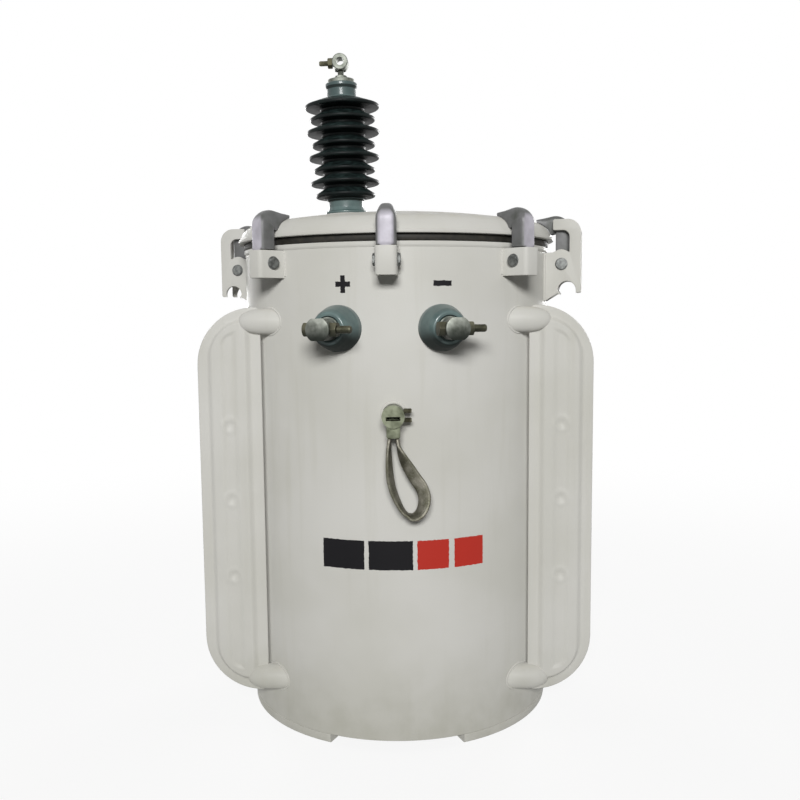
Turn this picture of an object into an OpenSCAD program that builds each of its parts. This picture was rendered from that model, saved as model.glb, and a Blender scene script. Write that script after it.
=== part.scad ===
// Pole mounted transformer, millimetres, Z up, front faces -Y.
// The tank axis is the Z axis and the feet stand on Z = 0.

/* [Tank] */
// outer radius of the tank wall
tank_r = 230; // [200:1:260]
// thickness of the tank wall
wall_t = 6; // [3:0.5:8]
// height of the two foot arcs under the wall
foot_h = 12; // [8:1:20]
// radial width of the foot arcs
foot_w = 24; // [16:1:36]
// half angle of the open gap between the feet, front and back
foot_gap = 24; // [15:1:30]
// height of the tank wall above the feet
shell_h = 679; // [600:1:760]
// how far the bottom plate sits above the lower edge of the wall
bottom_lift = 18; // [10:1:40]
// thickness of the bottom plate
bottom_t = 8; // [3:0.5:10]
// height of the lip at the top of the wall
rim_h = 7; // [4:1:12]
// how far the lip stands out from the wall
rim_out = 3; // [3:1:7]

/* [Lid] */
// thickness of the sealing ring
gasket_t = 10; // [6:1:14]
// radial width of the sealing ring
gasket_w = 10; // [9:1:14]
// how far the lid reaches past the tank wall
lid_out = 8; // [7:1:9]
// radius of the rounded lid edge
lid_nose = 26; // [20:1:32]
// spherical radius of the lid dome
dome_r = 1200; // [1100:1:1400]
// how far the lip of the lid stands out from its rounded edge
lip_out = 2; // [1:0.5:3]
// height of the lip of the lid
lip_h = 5; // [3:0.5:8]
// height of the bushing boss above the top of the dome
boss_up = 2; // [1:0.5:6]
// thickness of the lid plate
lid_t = 5; // [3:0.5:6]
// radius of the flat boss under the high voltage bushing
boss_r = 36; // [34:1:44]

/* [Clamps] */
// number of lid clamps around the lid
clamp_n = 8; // [8:1:8]
// turn of the front clamp about the tank axis, from the middle of the front
front_turn = -1.5; // [-3:0.5:0]
// turn of the four corner clamps, from the even spacing towards the front and back
corner_turn = 1.5; // [0:0.5:3]
// width of a clamp
clamp_w = 26; // [24:1:32]
// width of a clamp at its tapered top
clamp_top_w = 18; // [16:1:24]
// height of the taper at the top of a clamp
clamp_taper = 14; // [10:1:18]
// radial thickness of the clamp leg
clamp_t = 18; // [14:1:20]
// thickness of the clamp jaw over the lid
jaw_t = 10; // [7:1:12]
// how far the jaw reaches in over the lid edge
jaw_in = 22; // [21:1:30]
// radius of the clamp's outer bend
clamp_round = 20; // [16:1:22]
// radius of the clamp's inner bend
clamp_inner_round = 8; // [6:1:9]
// gap between a clamp jaw and the lid
jaw_gap = 0.6; // [0.4:0.1:1]
// gap between a clamp leg and its bracket plate
leg_gap = 1; // [0.5:0.5:2]
// height of a clamp tail above the bracket foot
tail_up = 6; // [4:1:10]
// gap between a bracket and the lip above it
bracket_gap = 1; // [0.5:0.5:3]
// outer width of a bracket
bracket_w = 28; // [27:1:36]
// plate thickness of a bracket
bracket_t = 4; // [3:0.5:5]
// height of a bracket
bracket_h = 37; // [30:1:44]
// radial reach of a bracket from the tank wall
bracket_out = 41; // [36:1:44]
// height of a bracket bolt above the bracket foot
bolt_up = 20; // [14:1:24]
// distance of a bracket bolt from the bracket front
bolt_in = 22; // [14:1:24]
// distance of a lug bolt from the bracket front
lug_bolt_in = 17; // [8:1:19]
// radius of a bracket bolt head, over its corners
bolt_r = 9; // [7:0.5:10]
// thickness of a bracket bolt head
bolt_t = 4; // [3:0.5:6]

/* [Lifting lugs] */
// turn of the two lugs and their clamps about the tank axis, from square to the front
lug_turn = -12; // [-15:0.5:0]
// gap between a cheek plate of a lug and the bracket inside
lug_side_gap = 3; // [2:0.5:6]
// thickness of a cheek plate
lug_t = 6; // [4:1:10]
// reach of a lug from the tank wall
lug_out = 52; // [50:1:62]
// height of the top of a lug above the tank wall
lug_top = 40; // [38:1:46]
// height of a lug over its outer tip
lug_h = 107; // [102:1:116]
// radius of the rounded top corner of a lug
lug_round = 26; // [22:1:28]
// gap between a lug and the edge of the lid
lug_clear = 3.5; // [3:0.5:6]
// height of the band over the window of a lug
eye_band = 16; // [13:1:18]
// radius of the rounded corner of the window
eye_round = 9; // [6:1:10]
// width of the window, which is open towards the lid
eye_w = 24; // [20:1:26]
// height of the window
eye_h = 32; // [28:1:34]
// width of the tip outside the notch
tip_w = 7; // [5:1:10]
// height of the notch centre above the tip
notch_up = 4; // [2:1:8]
// drop of the welded foot below the tip
lug_foot = 12; // [8:1:16]
// width of the welded foot
lug_foot_w = 20; // [16:1:21]
// radius of the half round notch in the foot of a lug
notch_r = 13; // [10:1:15]

/* [High voltage bushing] */
// distance of the bushing from the tank axis, to the left
hv_x = 76; // [60:1:90]
// lean of the bushing to the left, where the dome falls away
hv_lean = 1.5; // [0:0.5:4]
// radius of the collar
collar_r = 27; // [24:1:30]
// height of the collar
collar_h = 23; // [18:1:30]
// radius of the rubber core
core_r = 33; // [28:1:36]
// height of the rubber body
sheds_h = 150; // [140:1:170]
// distance from one small shed to the next
shed_pitch = 38; // [34:0.5:40]
// height of the lowest shed above the collar
shed_first = 5; // [4:0.5:8]
// thickness of a shed at its edge
shed_t = 6; // [4:0.5:8]
// rise of a shed's upper face from its edge to the core
shed_slope = 7; // [4:0.5:9]
// step at the top of the rubber core
core_step = 4; // [2:0.5:6]
// number of shed pairs, one small and one large
shed_n = 4; // [3:1:5]
// radius of the highest large shed
shed_big = 57; // [50:1:62]
// radius of the highest small shed
shed_small = 50; // [44:1:54]
// how much smaller the lowest shed of each size is than the highest
shed_taper = 4; // [0:0.5:6]
// radius of the cap
cap_r = 22; // [20:1:28]
// how far the upper edge of the cap stands out
cap_lip = 2; // [1:0.5:4]
// height of the cap
cap_h = 23; // [20:1:32]
// radius of the stud
hv_stud_r = 7; // [5:0.5:9]
// length of the stud above the cap
hv_stud_h = 20; // [14:1:26]
// radius of the washer under the stud
hv_washer_r = 20; // [15:1:22]
// thickness of the washer under the stud
hv_washer_t = 6; // [3:0.5:8]
// radius of the round terminal clamp
hv_eye_r = 12; // [11:0.5:16]
// length of the terminal clamp
hv_eye_l = 24; // [18:1:30]
// radius of the conductor hole in the terminal clamp
hv_hole_r = 6; // [4:0.5:7]
// length of the terminal bolt
hv_bolt_l = 20; // [16:1:30]

/* [Low voltage bushings] */
// angle of each bushing from the middle between them
lv_angle = 17; // [14:0.5:20]
// turn of both bushings to the left
lv_shift = 1; // [0:0.5:2]
// drop of the bushings below the top of the wall
lv_drop = 113; // [100:1:130]
// radius of the insulator at the tank
lv_base_r = 31; // [28:1:38]
// radius of the insulator at its outer end
lv_end_r = 22; // [20:1:26]
// length of the straight foot of the insulator
lv_foot = 8; // [4:1:12]
// length of the insulator from the tank wall
lv_len = 38; // [30:1:46]
// radius of the stud
lv_stud_r = 10; // [8:0.5:12]
// length of the stud between insulator and clamp
lv_stud_l = 8; // [7:1:14]
// radius of the terminal clamp
lv_eye_r = 16; // [14:0.5:20]
// length of the terminal clamp
lv_eye_l = 26; // [24:1:34]
// half height of the terminal clamp over its flats
lv_flat = 14; // [11:0.5:14]
// radius of the conductor hole in the terminal clamp
lv_hole_r = 7; // [5:0.5:7]
// length of the terminal bolt
lv_bolt_l = 28; // [22:1:40]
// radius of the terminal bolt's head and nut, over their corners
lv_nut_r = 10; // [8:0.5:12]
// height of the terminal bolt's head
lv_head_h = 7; // [6:0.5:10]

/* [Earth terminal] */
// drop of the earth terminal below the top of the wall
earth_drop = 226; // [200:1:250]
// radius of the earth boss and its clamp
earth_r = 15; // [12:0.5:17]
// length of the earth boss from the tank wall
earth_len = 12; // [8:1:16]
// length of the earth clamp
earth_clamp_l = 22; // [16:1:28]
// width of the throat under the earth clamp
throat_w = 18; // [14:1:22]
// height of the throat under the earth clamp
throat_h = 14; // [10:1:18]
// radius of an earth bolt
earth_bolt_r = 3.5; // [2:0.5:4]
// distance of an earth bolt from the middle of the clamp
earth_bolt_z = 6; // [4.5:0.5:7]
// length of an earth bolt outside the clamp
earth_bolt_l = 9; // [6:1:14]
// height of the slot in the earth clamp
slot_h = 7; // [5:0.5:8]
// depth of the slot in the earth clamp
slot_d = 8; // [6:0.5:10]
// distance of the slot from the end of the earth clamp
slot_in = 5; // [3:0.5:6]
// half thickness of the braid
braid_r = 3.5; // [3:0.5:4]
// height of the braid loop
braid_drop = 105; // [90:1:120]
// width of the braid loop
braid_w = 46; // [42:1:56]

/* [Radiators] */
// distance of each panel behind the front, or before the back, of the wall
panel_back = 80; // [70:1:95]
// gap between the panel inner edge and the wall beside it
panel_gap = 13.6; // [10:0.1:24]
// width of a panel
panel_w = 90; // [86:1:104]
// height of the panel foot above the foot of the wall
panel_up = 40; // [30:1:60]
// drop of the panel top below the top of the wall
panel_drop = 84; // [78:1:110]
// radius of the outer corners
panel_round = 90; // [70:1:92]
// radius of the inner corners
panel_inner_round = 9; // [6:1:22]
// width of the welded flat rim
panel_rim = 13; // [10:1:16]
// thickness of the welded flat rim
rim_t = 3; // [2:0.5:5]
// thickness over the raised oil channel
channel_t = 16; // [12:1:24]
// radius of a pipe stub
stub_r = 18; // [15:1:20]
// distance of a pipe stub from the panel end
stub_in = 20; // [19:1:26]
// gap between a forked stub and the panel it laps
fork_gap = 0.5; // [0.3:0.1:1]
// how far a stub laps over the panel
stub_lap = 22; // [16:1:28]

/* [Pole hangers] */
// height of the lower hanger hole above the floor
hanger_z = 240; // [200:1:280]
// distance between the two hanger holes
hanger_pitch = 285.75; // [260:0.25:320]
// reach of the hangers from the wall
hanger_out = 65; // [60:1:90]
// width of a hanger plate
hanger_w = 120; // [100:1:140]
// height of a hanger plate
hanger_h = 80; // [60:1:100]
// plate thickness of a hanger
hanger_t = 8; // [6:1:12]
// radius of a hanger bolt hole
hanger_hole_r = 9; // [7:0.5:11]

/* [Hidden] */
$fn = 96;

shell_top = foot_h + shell_h;
rim_r = tank_r + rim_out;
gasket_in = rim_r - 1 - gasket_w;
lid_z = shell_top + gasket_t;
lid_r = tank_r + lid_out;
nose_x = lid_r - lid_nose;
dome_z = lid_z - sqrt(pow(dome_r - lid_nose, 2) - pow(nose_x, 2));
lid_top = dome_z + dome_r;
boss_z = lid_top + boss_up;
boss_foot = dome_z + sqrt(pow(dome_r, 2) - pow(hv_x + boss_r, 2)) - lid_t / 2;
clamp_pitch = 360 / clamp_n;
lug_at = 2 * clamp_pitch + lug_turn;
bracket_r = tank_r + bracket_out;
leg_out = bracket_r - bracket_t - leg_gap;
jaw_r = lid_r - jaw_in;
jaw_z = dome_z + sqrt(pow(dome_r, 2) - pow(jaw_r, 2)) + jaw_gap;
clamp_z = jaw_z + jaw_t;
bracket_top = shell_top - rim_h - bracket_gap;
bracket_z = bracket_top - bracket_h;
bolt_z = bracket_z + bolt_up;
tail_w = bracket_w - 2 * bracket_t - 2 * leg_gap;
lug_r = tank_r + lug_out;
lug_z = shell_top + lug_top;
lug_low = lug_z - lug_h;
lug_in = lid_r + lug_clear;
eye_z = lug_z - eye_band - eye_h;
lug_y = bracket_w / 2 + lug_side_gap;
collar_z = boss_z;
sheds_z = collar_z + collar_h;
cap_z = sheds_z + sheds_h;
hv_stud_z = cap_z + cap_h;
hv_eye_z = hv_stud_z + hv_stud_h + hv_eye_r - 1;
lv_z = shell_top - lv_drop;
lv_end = tank_r + lv_len;
lv_eye_in = lv_end + lv_stud_l;
lv_eye_mid = lv_eye_in + lv_eye_l / 2;
earth_z = shell_top - earth_drop;
earth_y = tank_r + earth_len;
earth_end = earth_y + earth_clamp_l;
hanger_y = tank_r + hanger_out;
panel_y = tank_r - panel_back;
panel_in = sqrt(pow(tank_r, 2) - pow(panel_y, 2)) + panel_gap;
panel_z = foot_h + panel_up;
panel_h = shell_top - panel_drop - panel_z;

// angle of a clamp seat from the front, seats being counted round from there to the right
function seat_at(i) = i * clamp_pitch
  + (i == 0 ? front_turn : i % 4 == 1 ? -corner_turn : i % 4 == 2 ? lug_turn : i % 4 == 3 ? corner_turn : 0);

// turn a piece built at the front round the tank axis
module at(phi) {
  rotate([0, 0, phi])
    children();
}

// a plain round bar that runs outward from radius a to radius b at height z
module spoke(r, a, b, z) {
  translate([0, -a, z])
    rotate([90, 0, 0])
      cylinder(r = r, h = b - a);
}

// TANK
module tank_shell() {
  color([0.75, 0.75, 0.72])
    translate([0, 0, foot_h])
      difference() {
        cylinder(r = tank_r, h = shell_h);
        translate([0, 0, -1])
          cylinder(r = tank_r - wall_t, h = shell_h + 2);
      }
}

module tank_bottom() {
  color([0.72, 0.72, 0.69])
    translate([0, 0, foot_h + bottom_lift])
      cylinder(r = tank_r - wall_t, h = bottom_t);
}

// one foot arc, from the front gap to the back gap
module foot_arc() {
  rotate([0, 0, foot_gap - 90])
    rotate_extrude(angle = 180 - 2 * foot_gap)
      translate([tank_r - foot_w, 0])
        square([foot_w, foot_h]);
}

module base_ring() {
  color([0.70, 0.70, 0.67]) {
    foot_arc();
    rotate([0, 0, 180])
      foot_arc();
  }
}

module tank_rim() {
  color([0.78, 0.78, 0.75])
    translate([0, 0, shell_top - rim_h])
      difference() {
        cylinder(r = rim_r, h = rim_h);
        translate([0, 0, -1])
          cylinder(r = tank_r, h = rim_h + 2);
      }
}

// LID
// place a piece of the tall bushing, which leans about the middle of its boss
module at_bushing(z) {
  translate([-hv_x, 0, boss_z])
    rotate([0, -hv_lean, 0])
      translate([0, 0, z - boss_z])
        children();
}

module lid_gasket() {
  color([0.08, 0.08, 0.07])
    translate([0, 0, shell_top])
      difference() {
        cylinder(r = gasket_in + gasket_w, h = gasket_t);
        translate([0, 0, -1])
          cylinder(r = gasket_in, h = gasket_t + 2);
      }
}

// section of the lid above its lower edge, d thinner than the outside
module lid_section(d) {
  intersection() {
    translate([0, lid_z])
      square([2 * lid_r, 2 * (lid_top - lid_z)]);
    union() {
      translate([nose_x, lid_z])
        circle(r = lid_nose - d);
      translate([0, lid_z - 1])
        square([nose_x, lid_nose]);
      intersection() {
        translate([0, dome_z])
          circle(r = dome_r - d, $fn = 720);
        polygon([[0, lid_z], [nose_x, lid_z], [nose_x * 1.027, lid_z + lid_nose], [0, lid_top + 5]]);
      }
    }
  }
}

module lid() {
  color([0.76, 0.76, 0.73])
    union() {
      rotate_extrude()
        difference() {
          union() {
            lid_section(0);
            translate([nose_x, lid_z])
              square([lid_r + lip_out - nose_x, lip_h]);
          }
          translate([0, -0.01])
            difference() {
              lid_section(lid_t);
              translate([gasket_in, lid_z])
                square([lid_r - gasket_in, lid_t]);
            }
        }
      at_bushing(boss_foot)
        cylinder(r = boss_r, h = boss_z - boss_foot);
    }
}

// CLAMPS
// side view of a clamp with its leg out to radius b and t thick:
// x outward from the tank axis, y up
module clamp_side(b, t) {
  difference() {
    union() {
      translate([jaw_r, clamp_z - clamp_round])
        square([b - jaw_r - clamp_round, clamp_round]);
      translate([jaw_r, bracket_top])
        square([b - jaw_r, clamp_z - clamp_round - bracket_top]);
      translate([b - clamp_round, clamp_z - clamp_round])
        circle(r = clamp_round);
    }
    translate([jaw_r - 1, bracket_top - 1])
      square([b - t - clamp_inner_round - jaw_r + 1, jaw_z - bracket_top + 1]);
    translate([jaw_r - 1, bracket_top - 1])
      square([b - t - jaw_r + 1, jaw_z - clamp_inner_round - bracket_top + 1]);
    translate([b - t - clamp_inner_round, jaw_z - clamp_inner_round])
      circle(r = clamp_inner_round);
  }
}

// front view of a clamp: full width below, tapered at the top
module clamp_face() {
  polygon([[-clamp_w / 2, bracket_top], [clamp_w / 2, bracket_top],
    [clamp_w / 2, clamp_z - clamp_taper], [clamp_top_w / 2, clamp_z],
    [-clamp_top_w / 2, clamp_z], [-clamp_w / 2, clamp_z - clamp_taper]]);
}

module clamp(b, t) {
  color([0.72, 0.72, 0.75])
    union() {
      intersection() {
        rotate([90, 0, -90])
          translate([0, 0, -clamp_w / 2])
            linear_extrude(clamp_w)
              clamp_side(b, t);
        rotate([90, 0, 0])
          linear_extrude(b + 5)
            clamp_face();
      }
      translate([-tail_w / 2, -b, bracket_z + tail_up])
        cube([tail_w, t, bracket_top - bracket_z]);
    }
}

module clamp_front() {
  at(seat_at(0))
    clamp(leg_out, clamp_t);
}

module clamp_front_right() {
  at(seat_at(1))
    clamp(leg_out, clamp_t);
}

module clamp_right() {
  at(seat_at(2))
    clamp(leg_out, clamp_t);
}

module clamp_rear_right() {
  at(seat_at(3))
    clamp(leg_out, clamp_t);
}

module clamp_rear() {
  at(seat_at(4))
    clamp(leg_out, clamp_t);
}

module clamp_rear_left() {
  at(seat_at(5))
    clamp(leg_out, clamp_t);
}

module clamp_left() {
  at(seat_at(6))
    clamp(leg_out, clamp_t);
}

module clamp_front_left() {
  at(seat_at(7))
    clamp(leg_out, clamp_t);
}

// one box bracket, open at the top and at the foot
module bracket() {
  difference() {
    translate([-bracket_w / 2, -bracket_r, bracket_z])
      cube([bracket_w, bracket_out + 20, bracket_h]);
    translate([bracket_t - bracket_w / 2, bracket_t - bracket_r, bracket_z - 1])
      cube([bracket_w - 2 * bracket_t, bracket_out + 20, bracket_h + 2]);
    translate([0, 0, bracket_z - 2])
      cylinder(r = tank_r, h = bracket_h + 4);
  }
}

module clamp_brackets() {
  color([0.74, 0.74, 0.71])
    for (i = [0:clamp_n - 1])
      at(seat_at(i))
        bracket();
}

module clamp_bolts() {
  color([0.45, 0.45, 0.45])
    for (i = [0:clamp_n - 1])
      if (i % 4 != 2)
        at(seat_at(i))
          for (s = [-1, 1])
            translate([s * bracket_w / 2, bolt_in - bracket_r, bolt_z])
              rotate([0, s * 90, 0])
                cylinder(r = bolt_r, h = bolt_t, $fn = 6);
}

// LIFTING LUGS
// side view of a right hand lug: x outward from the tank axis, y up
module lug_plate() {
  difference() {
    union() {
      translate([lug_in, lug_low])
        square([lug_r - lug_in, lug_z - lug_round - lug_low]);
      translate([lug_in, lug_z - lug_round - 1])
        square([lug_r - lug_round - lug_in, lug_round + 1]);
      intersection() {
        translate([lug_r - lug_round, lug_z - lug_round])
          circle(r = lug_round);
        translate([lug_in, lug_low])
          square([lug_r - lug_in, lug_h]);
      }
      polygon([[tank_r - wall_t, lug_low - lug_foot], [tank_r, lug_low - lug_foot],
        [tank_r + lug_foot_w, lug_low], [tank_r + lug_foot_w, bracket_top],
        [tank_r - wall_t, bracket_top]]);
    }
    translate([lug_in - 1, eye_z])
      square([eye_w + 1, eye_h - eye_round]);
    translate([lug_in - 1, eye_z])
      square([eye_w + 1 - eye_round, eye_h]);
    translate([lug_in + eye_w - eye_round, eye_z + eye_h - eye_round])
      circle(r = eye_round);
    translate([lug_r - tip_w - notch_r, lug_low + notch_up])
      circle(r = notch_r);
    translate([lug_r - tip_w - 2 * notch_r, lug_low - lug_foot])
      square([2 * notch_r, lug_foot + notch_up]);
  }
}

module lug() {
  for (s = [-1, 1])
    difference() {
      translate([0, s * (lug_y + lug_t / 2) + lug_t / 2, 0])
        rotate([90, 0, 0])
          linear_extrude(lug_t)
            lug_plate();
      translate([0, 0, lug_low - 2 * lug_foot])
        cylinder(r = tank_r, h = lug_h + 2 * lug_foot);
    }
}

module lug_right() {
  color([0.80, 0.80, 0.78])
    rotate([0, 0, lug_at - 90])
      lug();
}

module lug_left() {
  color([0.80, 0.80, 0.78])
    rotate([0, 0, lug_at + 90])
      lug();
}

module lug_bolts() {
  color([0.50, 0.50, 0.50])
    for (a = [-90, 90])
      rotate([0, 0, lug_at + a])
        for (s = [-1, 1])
          translate([bracket_r - lug_bolt_in, s * (lug_y + lug_t), bolt_z])
            rotate([-s * 90, 0, 0])
              cylinder(r = bolt_r, h = bolt_t, $fn = 6);
}

// HIGH VOLTAGE BUSHING
module hv_collar() {
  color([0.45, 0.52, 0.50])
    at_bushing(collar_z)
      union() {
        cylinder(r = boss_r - 4, h = 4);
        cylinder(r = collar_r, h = collar_h);
      }
}

// section of one shed: x outward, y up, with a round edge and sloping faces
module shed_section(r, z) {
  polygon([[core_r - 1, z - shed_t / 2 - 1], [r - shed_t / 2, z - shed_t / 2],
    [r - shed_t / 2, z + shed_t / 2], [core_r - 1, z + shed_t / 2 + shed_slope]]);
  translate([r - shed_t / 2, z])
    circle(r = shed_t / 2);
}

module hv_sheds() {
  color([0.05, 0.08, 0.07])
    at_bushing(sheds_z)
      rotate_extrude()
        union() {
          square([core_r, sheds_h - core_step]);
          square([core_r - core_step, sheds_h]);
          for (i = [0:shed_n - 1]) {
            taper = shed_taper * (1 - i / (shed_n - 1));
            shed_section(shed_small - taper, shed_first + i * shed_pitch);
            shed_section(shed_big - taper, shed_first + (i + 0.5) * shed_pitch);
          }
        }
}

module hv_cap() {
  color([0.40, 0.47, 0.46])
    at_bushing(cap_z)
      union() {
        cylinder(r = cap_r, h = cap_h);
        translate([0, 0, cap_h - 9])
          cylinder(r1 = cap_r, r2 = cap_r + cap_lip, h = 4);
        translate([0, 0, cap_h - 5])
          cylinder(r = cap_r + cap_lip, h = 5);
      }
}

module hv_stud() {
  color([0.80, 0.79, 0.74])
    at_bushing(hv_stud_z)
      union() {
        cylinder(r = hv_washer_r, h = hv_washer_t);
        cylinder(r = hv_stud_r, h = hv_stud_h - 1);
      }
}

module hv_terminal() {
  color([0.78, 0.77, 0.72])
    at_bushing(hv_eye_z)
      difference() {
        union() {
          translate([0, hv_eye_l / 2, 0])
            rotate([90, 0, 0])
              cylinder(r = hv_eye_r, h = hv_eye_l);
          translate([0, 0, -hv_eye_r])
            cylinder(r = hv_stud_r + 1, h = hv_eye_r);
        }
        translate([0, hv_eye_l, 0])
          rotate([90, 0, 0])
            cylinder(r = hv_hole_r, h = 2 * hv_eye_l);
      }
}

module hv_bolt() {
  color([0.55, 0.53, 0.45])
    at_bushing(hv_eye_z)
      translate([-hv_eye_r, 0, 0])
        rotate([0, -90, 0])
          union() {
            translate([0, 0, 0.2])
              cylinder(r = 8, h = 7, $fn = 6);
            cylinder(r = 4, h = hv_bolt_l);
          }
}

// LOW VOLTAGE BUSHINGS
module lv_insulator() {
  color([0.36, 0.46, 0.46])
    difference() {
      union() {
        spoke(lv_base_r, tank_r - lv_len, tank_r + lv_foot, lv_z);
        translate([0, -tank_r - lv_foot, lv_z])
          rotate([90, 0, 0])
            cylinder(r1 = lv_base_r, r2 = lv_end_r, h = lv_len - lv_foot);
      }
      translate([0, 0, lv_z - 2 * lv_base_r])
        cylinder(r = tank_r, h = 4 * lv_base_r);
    }
}

module lv_stud() {
  color([0.72, 0.71, 0.66])
    union() {
      spoke(lv_stud_r, lv_end, lv_eye_in, lv_z);
      spoke(lv_stud_r + 5, lv_end, lv_end + 5, lv_z);
    }
}

module lv_terminal() {
  color([0.80, 0.79, 0.75])
    difference() {
      spoke(lv_eye_r, lv_eye_in, lv_eye_in + lv_eye_l, lv_z);
      for (s = [-1, 1])
        translate([-2 * lv_eye_r, -lv_eye_in - lv_eye_l - 1, lv_z + s * (lv_flat + lv_eye_r) - lv_eye_r])
          cube([4 * lv_eye_r, lv_eye_l + 2, 2 * lv_eye_r]);
      translate([0, -lv_eye_mid, lv_z - 2 * lv_eye_r])
        cylinder(r = lv_hole_r, h = 4 * lv_eye_r);
    }
}

// terminal bolt with its head to the left of the terminal clamp, nut and thread to the right
module lv_bolt() {
  color([0.52, 0.50, 0.43])
    difference() {
      translate([0, -lv_eye_mid, lv_z])
        rotate([0, 90, 0])
          union() {
            translate([0, 0, lv_eye_r - 6])
              cylinder(r = lv_nut_r, h = 6 + lv_head_h, $fn = 6);
            translate([0, 0, lv_eye_r - 6])
              cylinder(r = lv_nut_r / 2, h = 3 + lv_bolt_l);
            translate([0, 0, -lv_eye_r - lv_head_h])
              cylinder(r = lv_nut_r, h = 6 + lv_head_h, $fn = 6);
          }
      spoke(lv_eye_r + 0.1, lv_eye_in - 5, lv_eye_in + lv_eye_l + 5, lv_z);
    }
}

module lv_insulator_left() {
  at(-lv_angle - lv_shift)
    lv_insulator();
}

module lv_insulator_right() {
  at(lv_angle - lv_shift)
    lv_insulator();
}

module lv_stud_left() {
  at(-lv_angle - lv_shift)
    lv_stud();
}

module lv_stud_right() {
  at(lv_angle - lv_shift)
    lv_stud();
}

module lv_terminal_left() {
  at(-lv_angle - lv_shift)
    lv_terminal();
}

module lv_terminal_right() {
  at(lv_angle - lv_shift)
    lv_terminal();
}

module lv_bolt_left() {
  at(-lv_angle - lv_shift)
    lv_bolt();
}

module lv_bolt_right() {
  at(lv_angle - lv_shift)
    lv_bolt();
}

// EARTH TERMINAL
module earth_boss() {
  color([0.74, 0.74, 0.70])
    difference() {
      spoke(earth_r, tank_r - earth_len, earth_y, earth_z);
      translate([0, 0, earth_z - 2 * earth_r])
        cylinder(r = tank_r, h = 4 * earth_r);
    }
}

module earth_clamp() {
  color([0.70, 0.69, 0.60])
    difference() {
      union() {
        spoke(earth_r, earth_y, earth_end, earth_z);
        translate([-throat_w / 2, slot_in - earth_end, earth_z - earth_r - throat_h])
          cube([throat_w, earth_clamp_l - 2 * slot_in, throat_h + earth_r]);
      }
      translate([-2 * earth_r, slot_in - earth_end, earth_z - slot_h - 1])
        cube([4 * earth_r, slot_d, slot_h]);
    }
}

module earth_bolts() {
  color([0.50, 0.50, 0.46])
    for (s = [-1, 1])
      difference() {
        translate([0, -earth_y - earth_bolt_r - 2, earth_z + s * earth_bolt_z])
          rotate([0, 90, 0])
            cylinder(r = earth_bolt_r, h = earth_r + earth_bolt_l);
        spoke(earth_r + 0.1, earth_y - earth_len, earth_end + earth_len, earth_z);
      }
}

// the braid hangs from the clamp in one loop and comes back to it
braid_z = earth_z - earth_r - throat_h - 0.5;
braid_y = earth_end - earth_clamp_l / 2;
braid_path = [
  [-5, 0, 0], [-6, 0, -0.12], [-6, 0, -0.3], [-5, 0, -0.47], [-2, 1, -0.63], [4, 2, -0.79],
  [12, 3, -0.93], [22, 4, -1], [31, 4, -0.97], [37, 4, -0.88], [39, 4, -0.75], [35, 3, -0.62],
  [27, 2, -0.5], [19, 1, -0.37], [12, 0, -0.24], [7, 0, -0.12], [5, 0, 0]];
braid_pts = [for (p = braid_path)
  [p[0] * braid_w / 45, -braid_y + p[1], braid_z + p[2] * braid_drop]];
braid_m = len(braid_pts);
function braid_dir(i) = braid_pts[min(i + 1, braid_m - 1)] - braid_pts[max(i - 1, 0)];
function unit(v) = v / norm(v);
function braid_ring(i) = let (t = unit(braid_dir(i)), n = unit(cross(t, [0, 1, 0])), b = cross(t, n))
  [for (k = [0:7]) braid_pts[i] + braid_r * (cos(45 * k) * n + 2.2 * sin(45 * k) * b)];

module earth_braid() {
  color([0.52, 0.50, 0.46])
    polyhedron(
      points = [for (i = [0:braid_m - 1]) each braid_ring(i)],
      faces = concat(
        [[for (k = [0:7]) k]],
        [for (i = [0:braid_m - 2]) for (k = [0:7])
          [i * 8 + k, (i + 1) * 8 + k, i * 8 + (k + 1) % 8]],
        [for (i = [0:braid_m - 2]) for (k = [0:7])
          [i * 8 + (k + 1) % 8, (i + 1) * 8 + k, (i + 1) * 8 + (k + 1) % 8]],
        [[for (k = [7:-1:0]) (braid_m - 1) * 8 + k]]));
}

// RADIATORS
// panel section from the edge to the middle: distance in, half thickness
panel_mid = panel_w / 2 - 4;
channel_w = panel_mid - panel_rim;
panel_steps = [
  [0, rim_t / 2],
  [panel_rim, rim_t / 2],
  [panel_rim + channel_w * 0.1, channel_t * 0.3],
  [panel_rim + channel_w * 0.24, channel_t * 0.45],
  [panel_rim + channel_w * 0.42, channel_t * 0.5],
  [panel_rim + channel_w * 0.7, channel_t * 0.5],
  [panel_rim + channel_w * 0.88, channel_t * 0.45],
  [panel_mid, channel_t * 0.34]];
panel_n = 8;
function corner(cx, cy, r, a, n) =
  [for (k = [0:n]) [cx + r * cos(a + 90 * k / n), cy + r * sin(a + 90 * k / n)]];
function inner_round(d) = max(panel_inner_round - d, 1.5);
function outer_round(d) = min(panel_round - d, panel_w - 2 * d - inner_round(d));
function panel_ring(d) = concat(
  corner(panel_w - d - outer_round(d), d + outer_round(d), outer_round(d), -90, panel_n),
  corner(panel_w - d - outer_round(d), panel_h - d - outer_round(d), outer_round(d), 0, panel_n),
  corner(d + inner_round(d), panel_h - d - inner_round(d), inner_round(d), 90, 4),
  corner(d + inner_round(d), d + inner_round(d), inner_round(d), 180, 4));
panel_pts = len(panel_ring(0));
panel_k = len(panel_steps);

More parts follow.
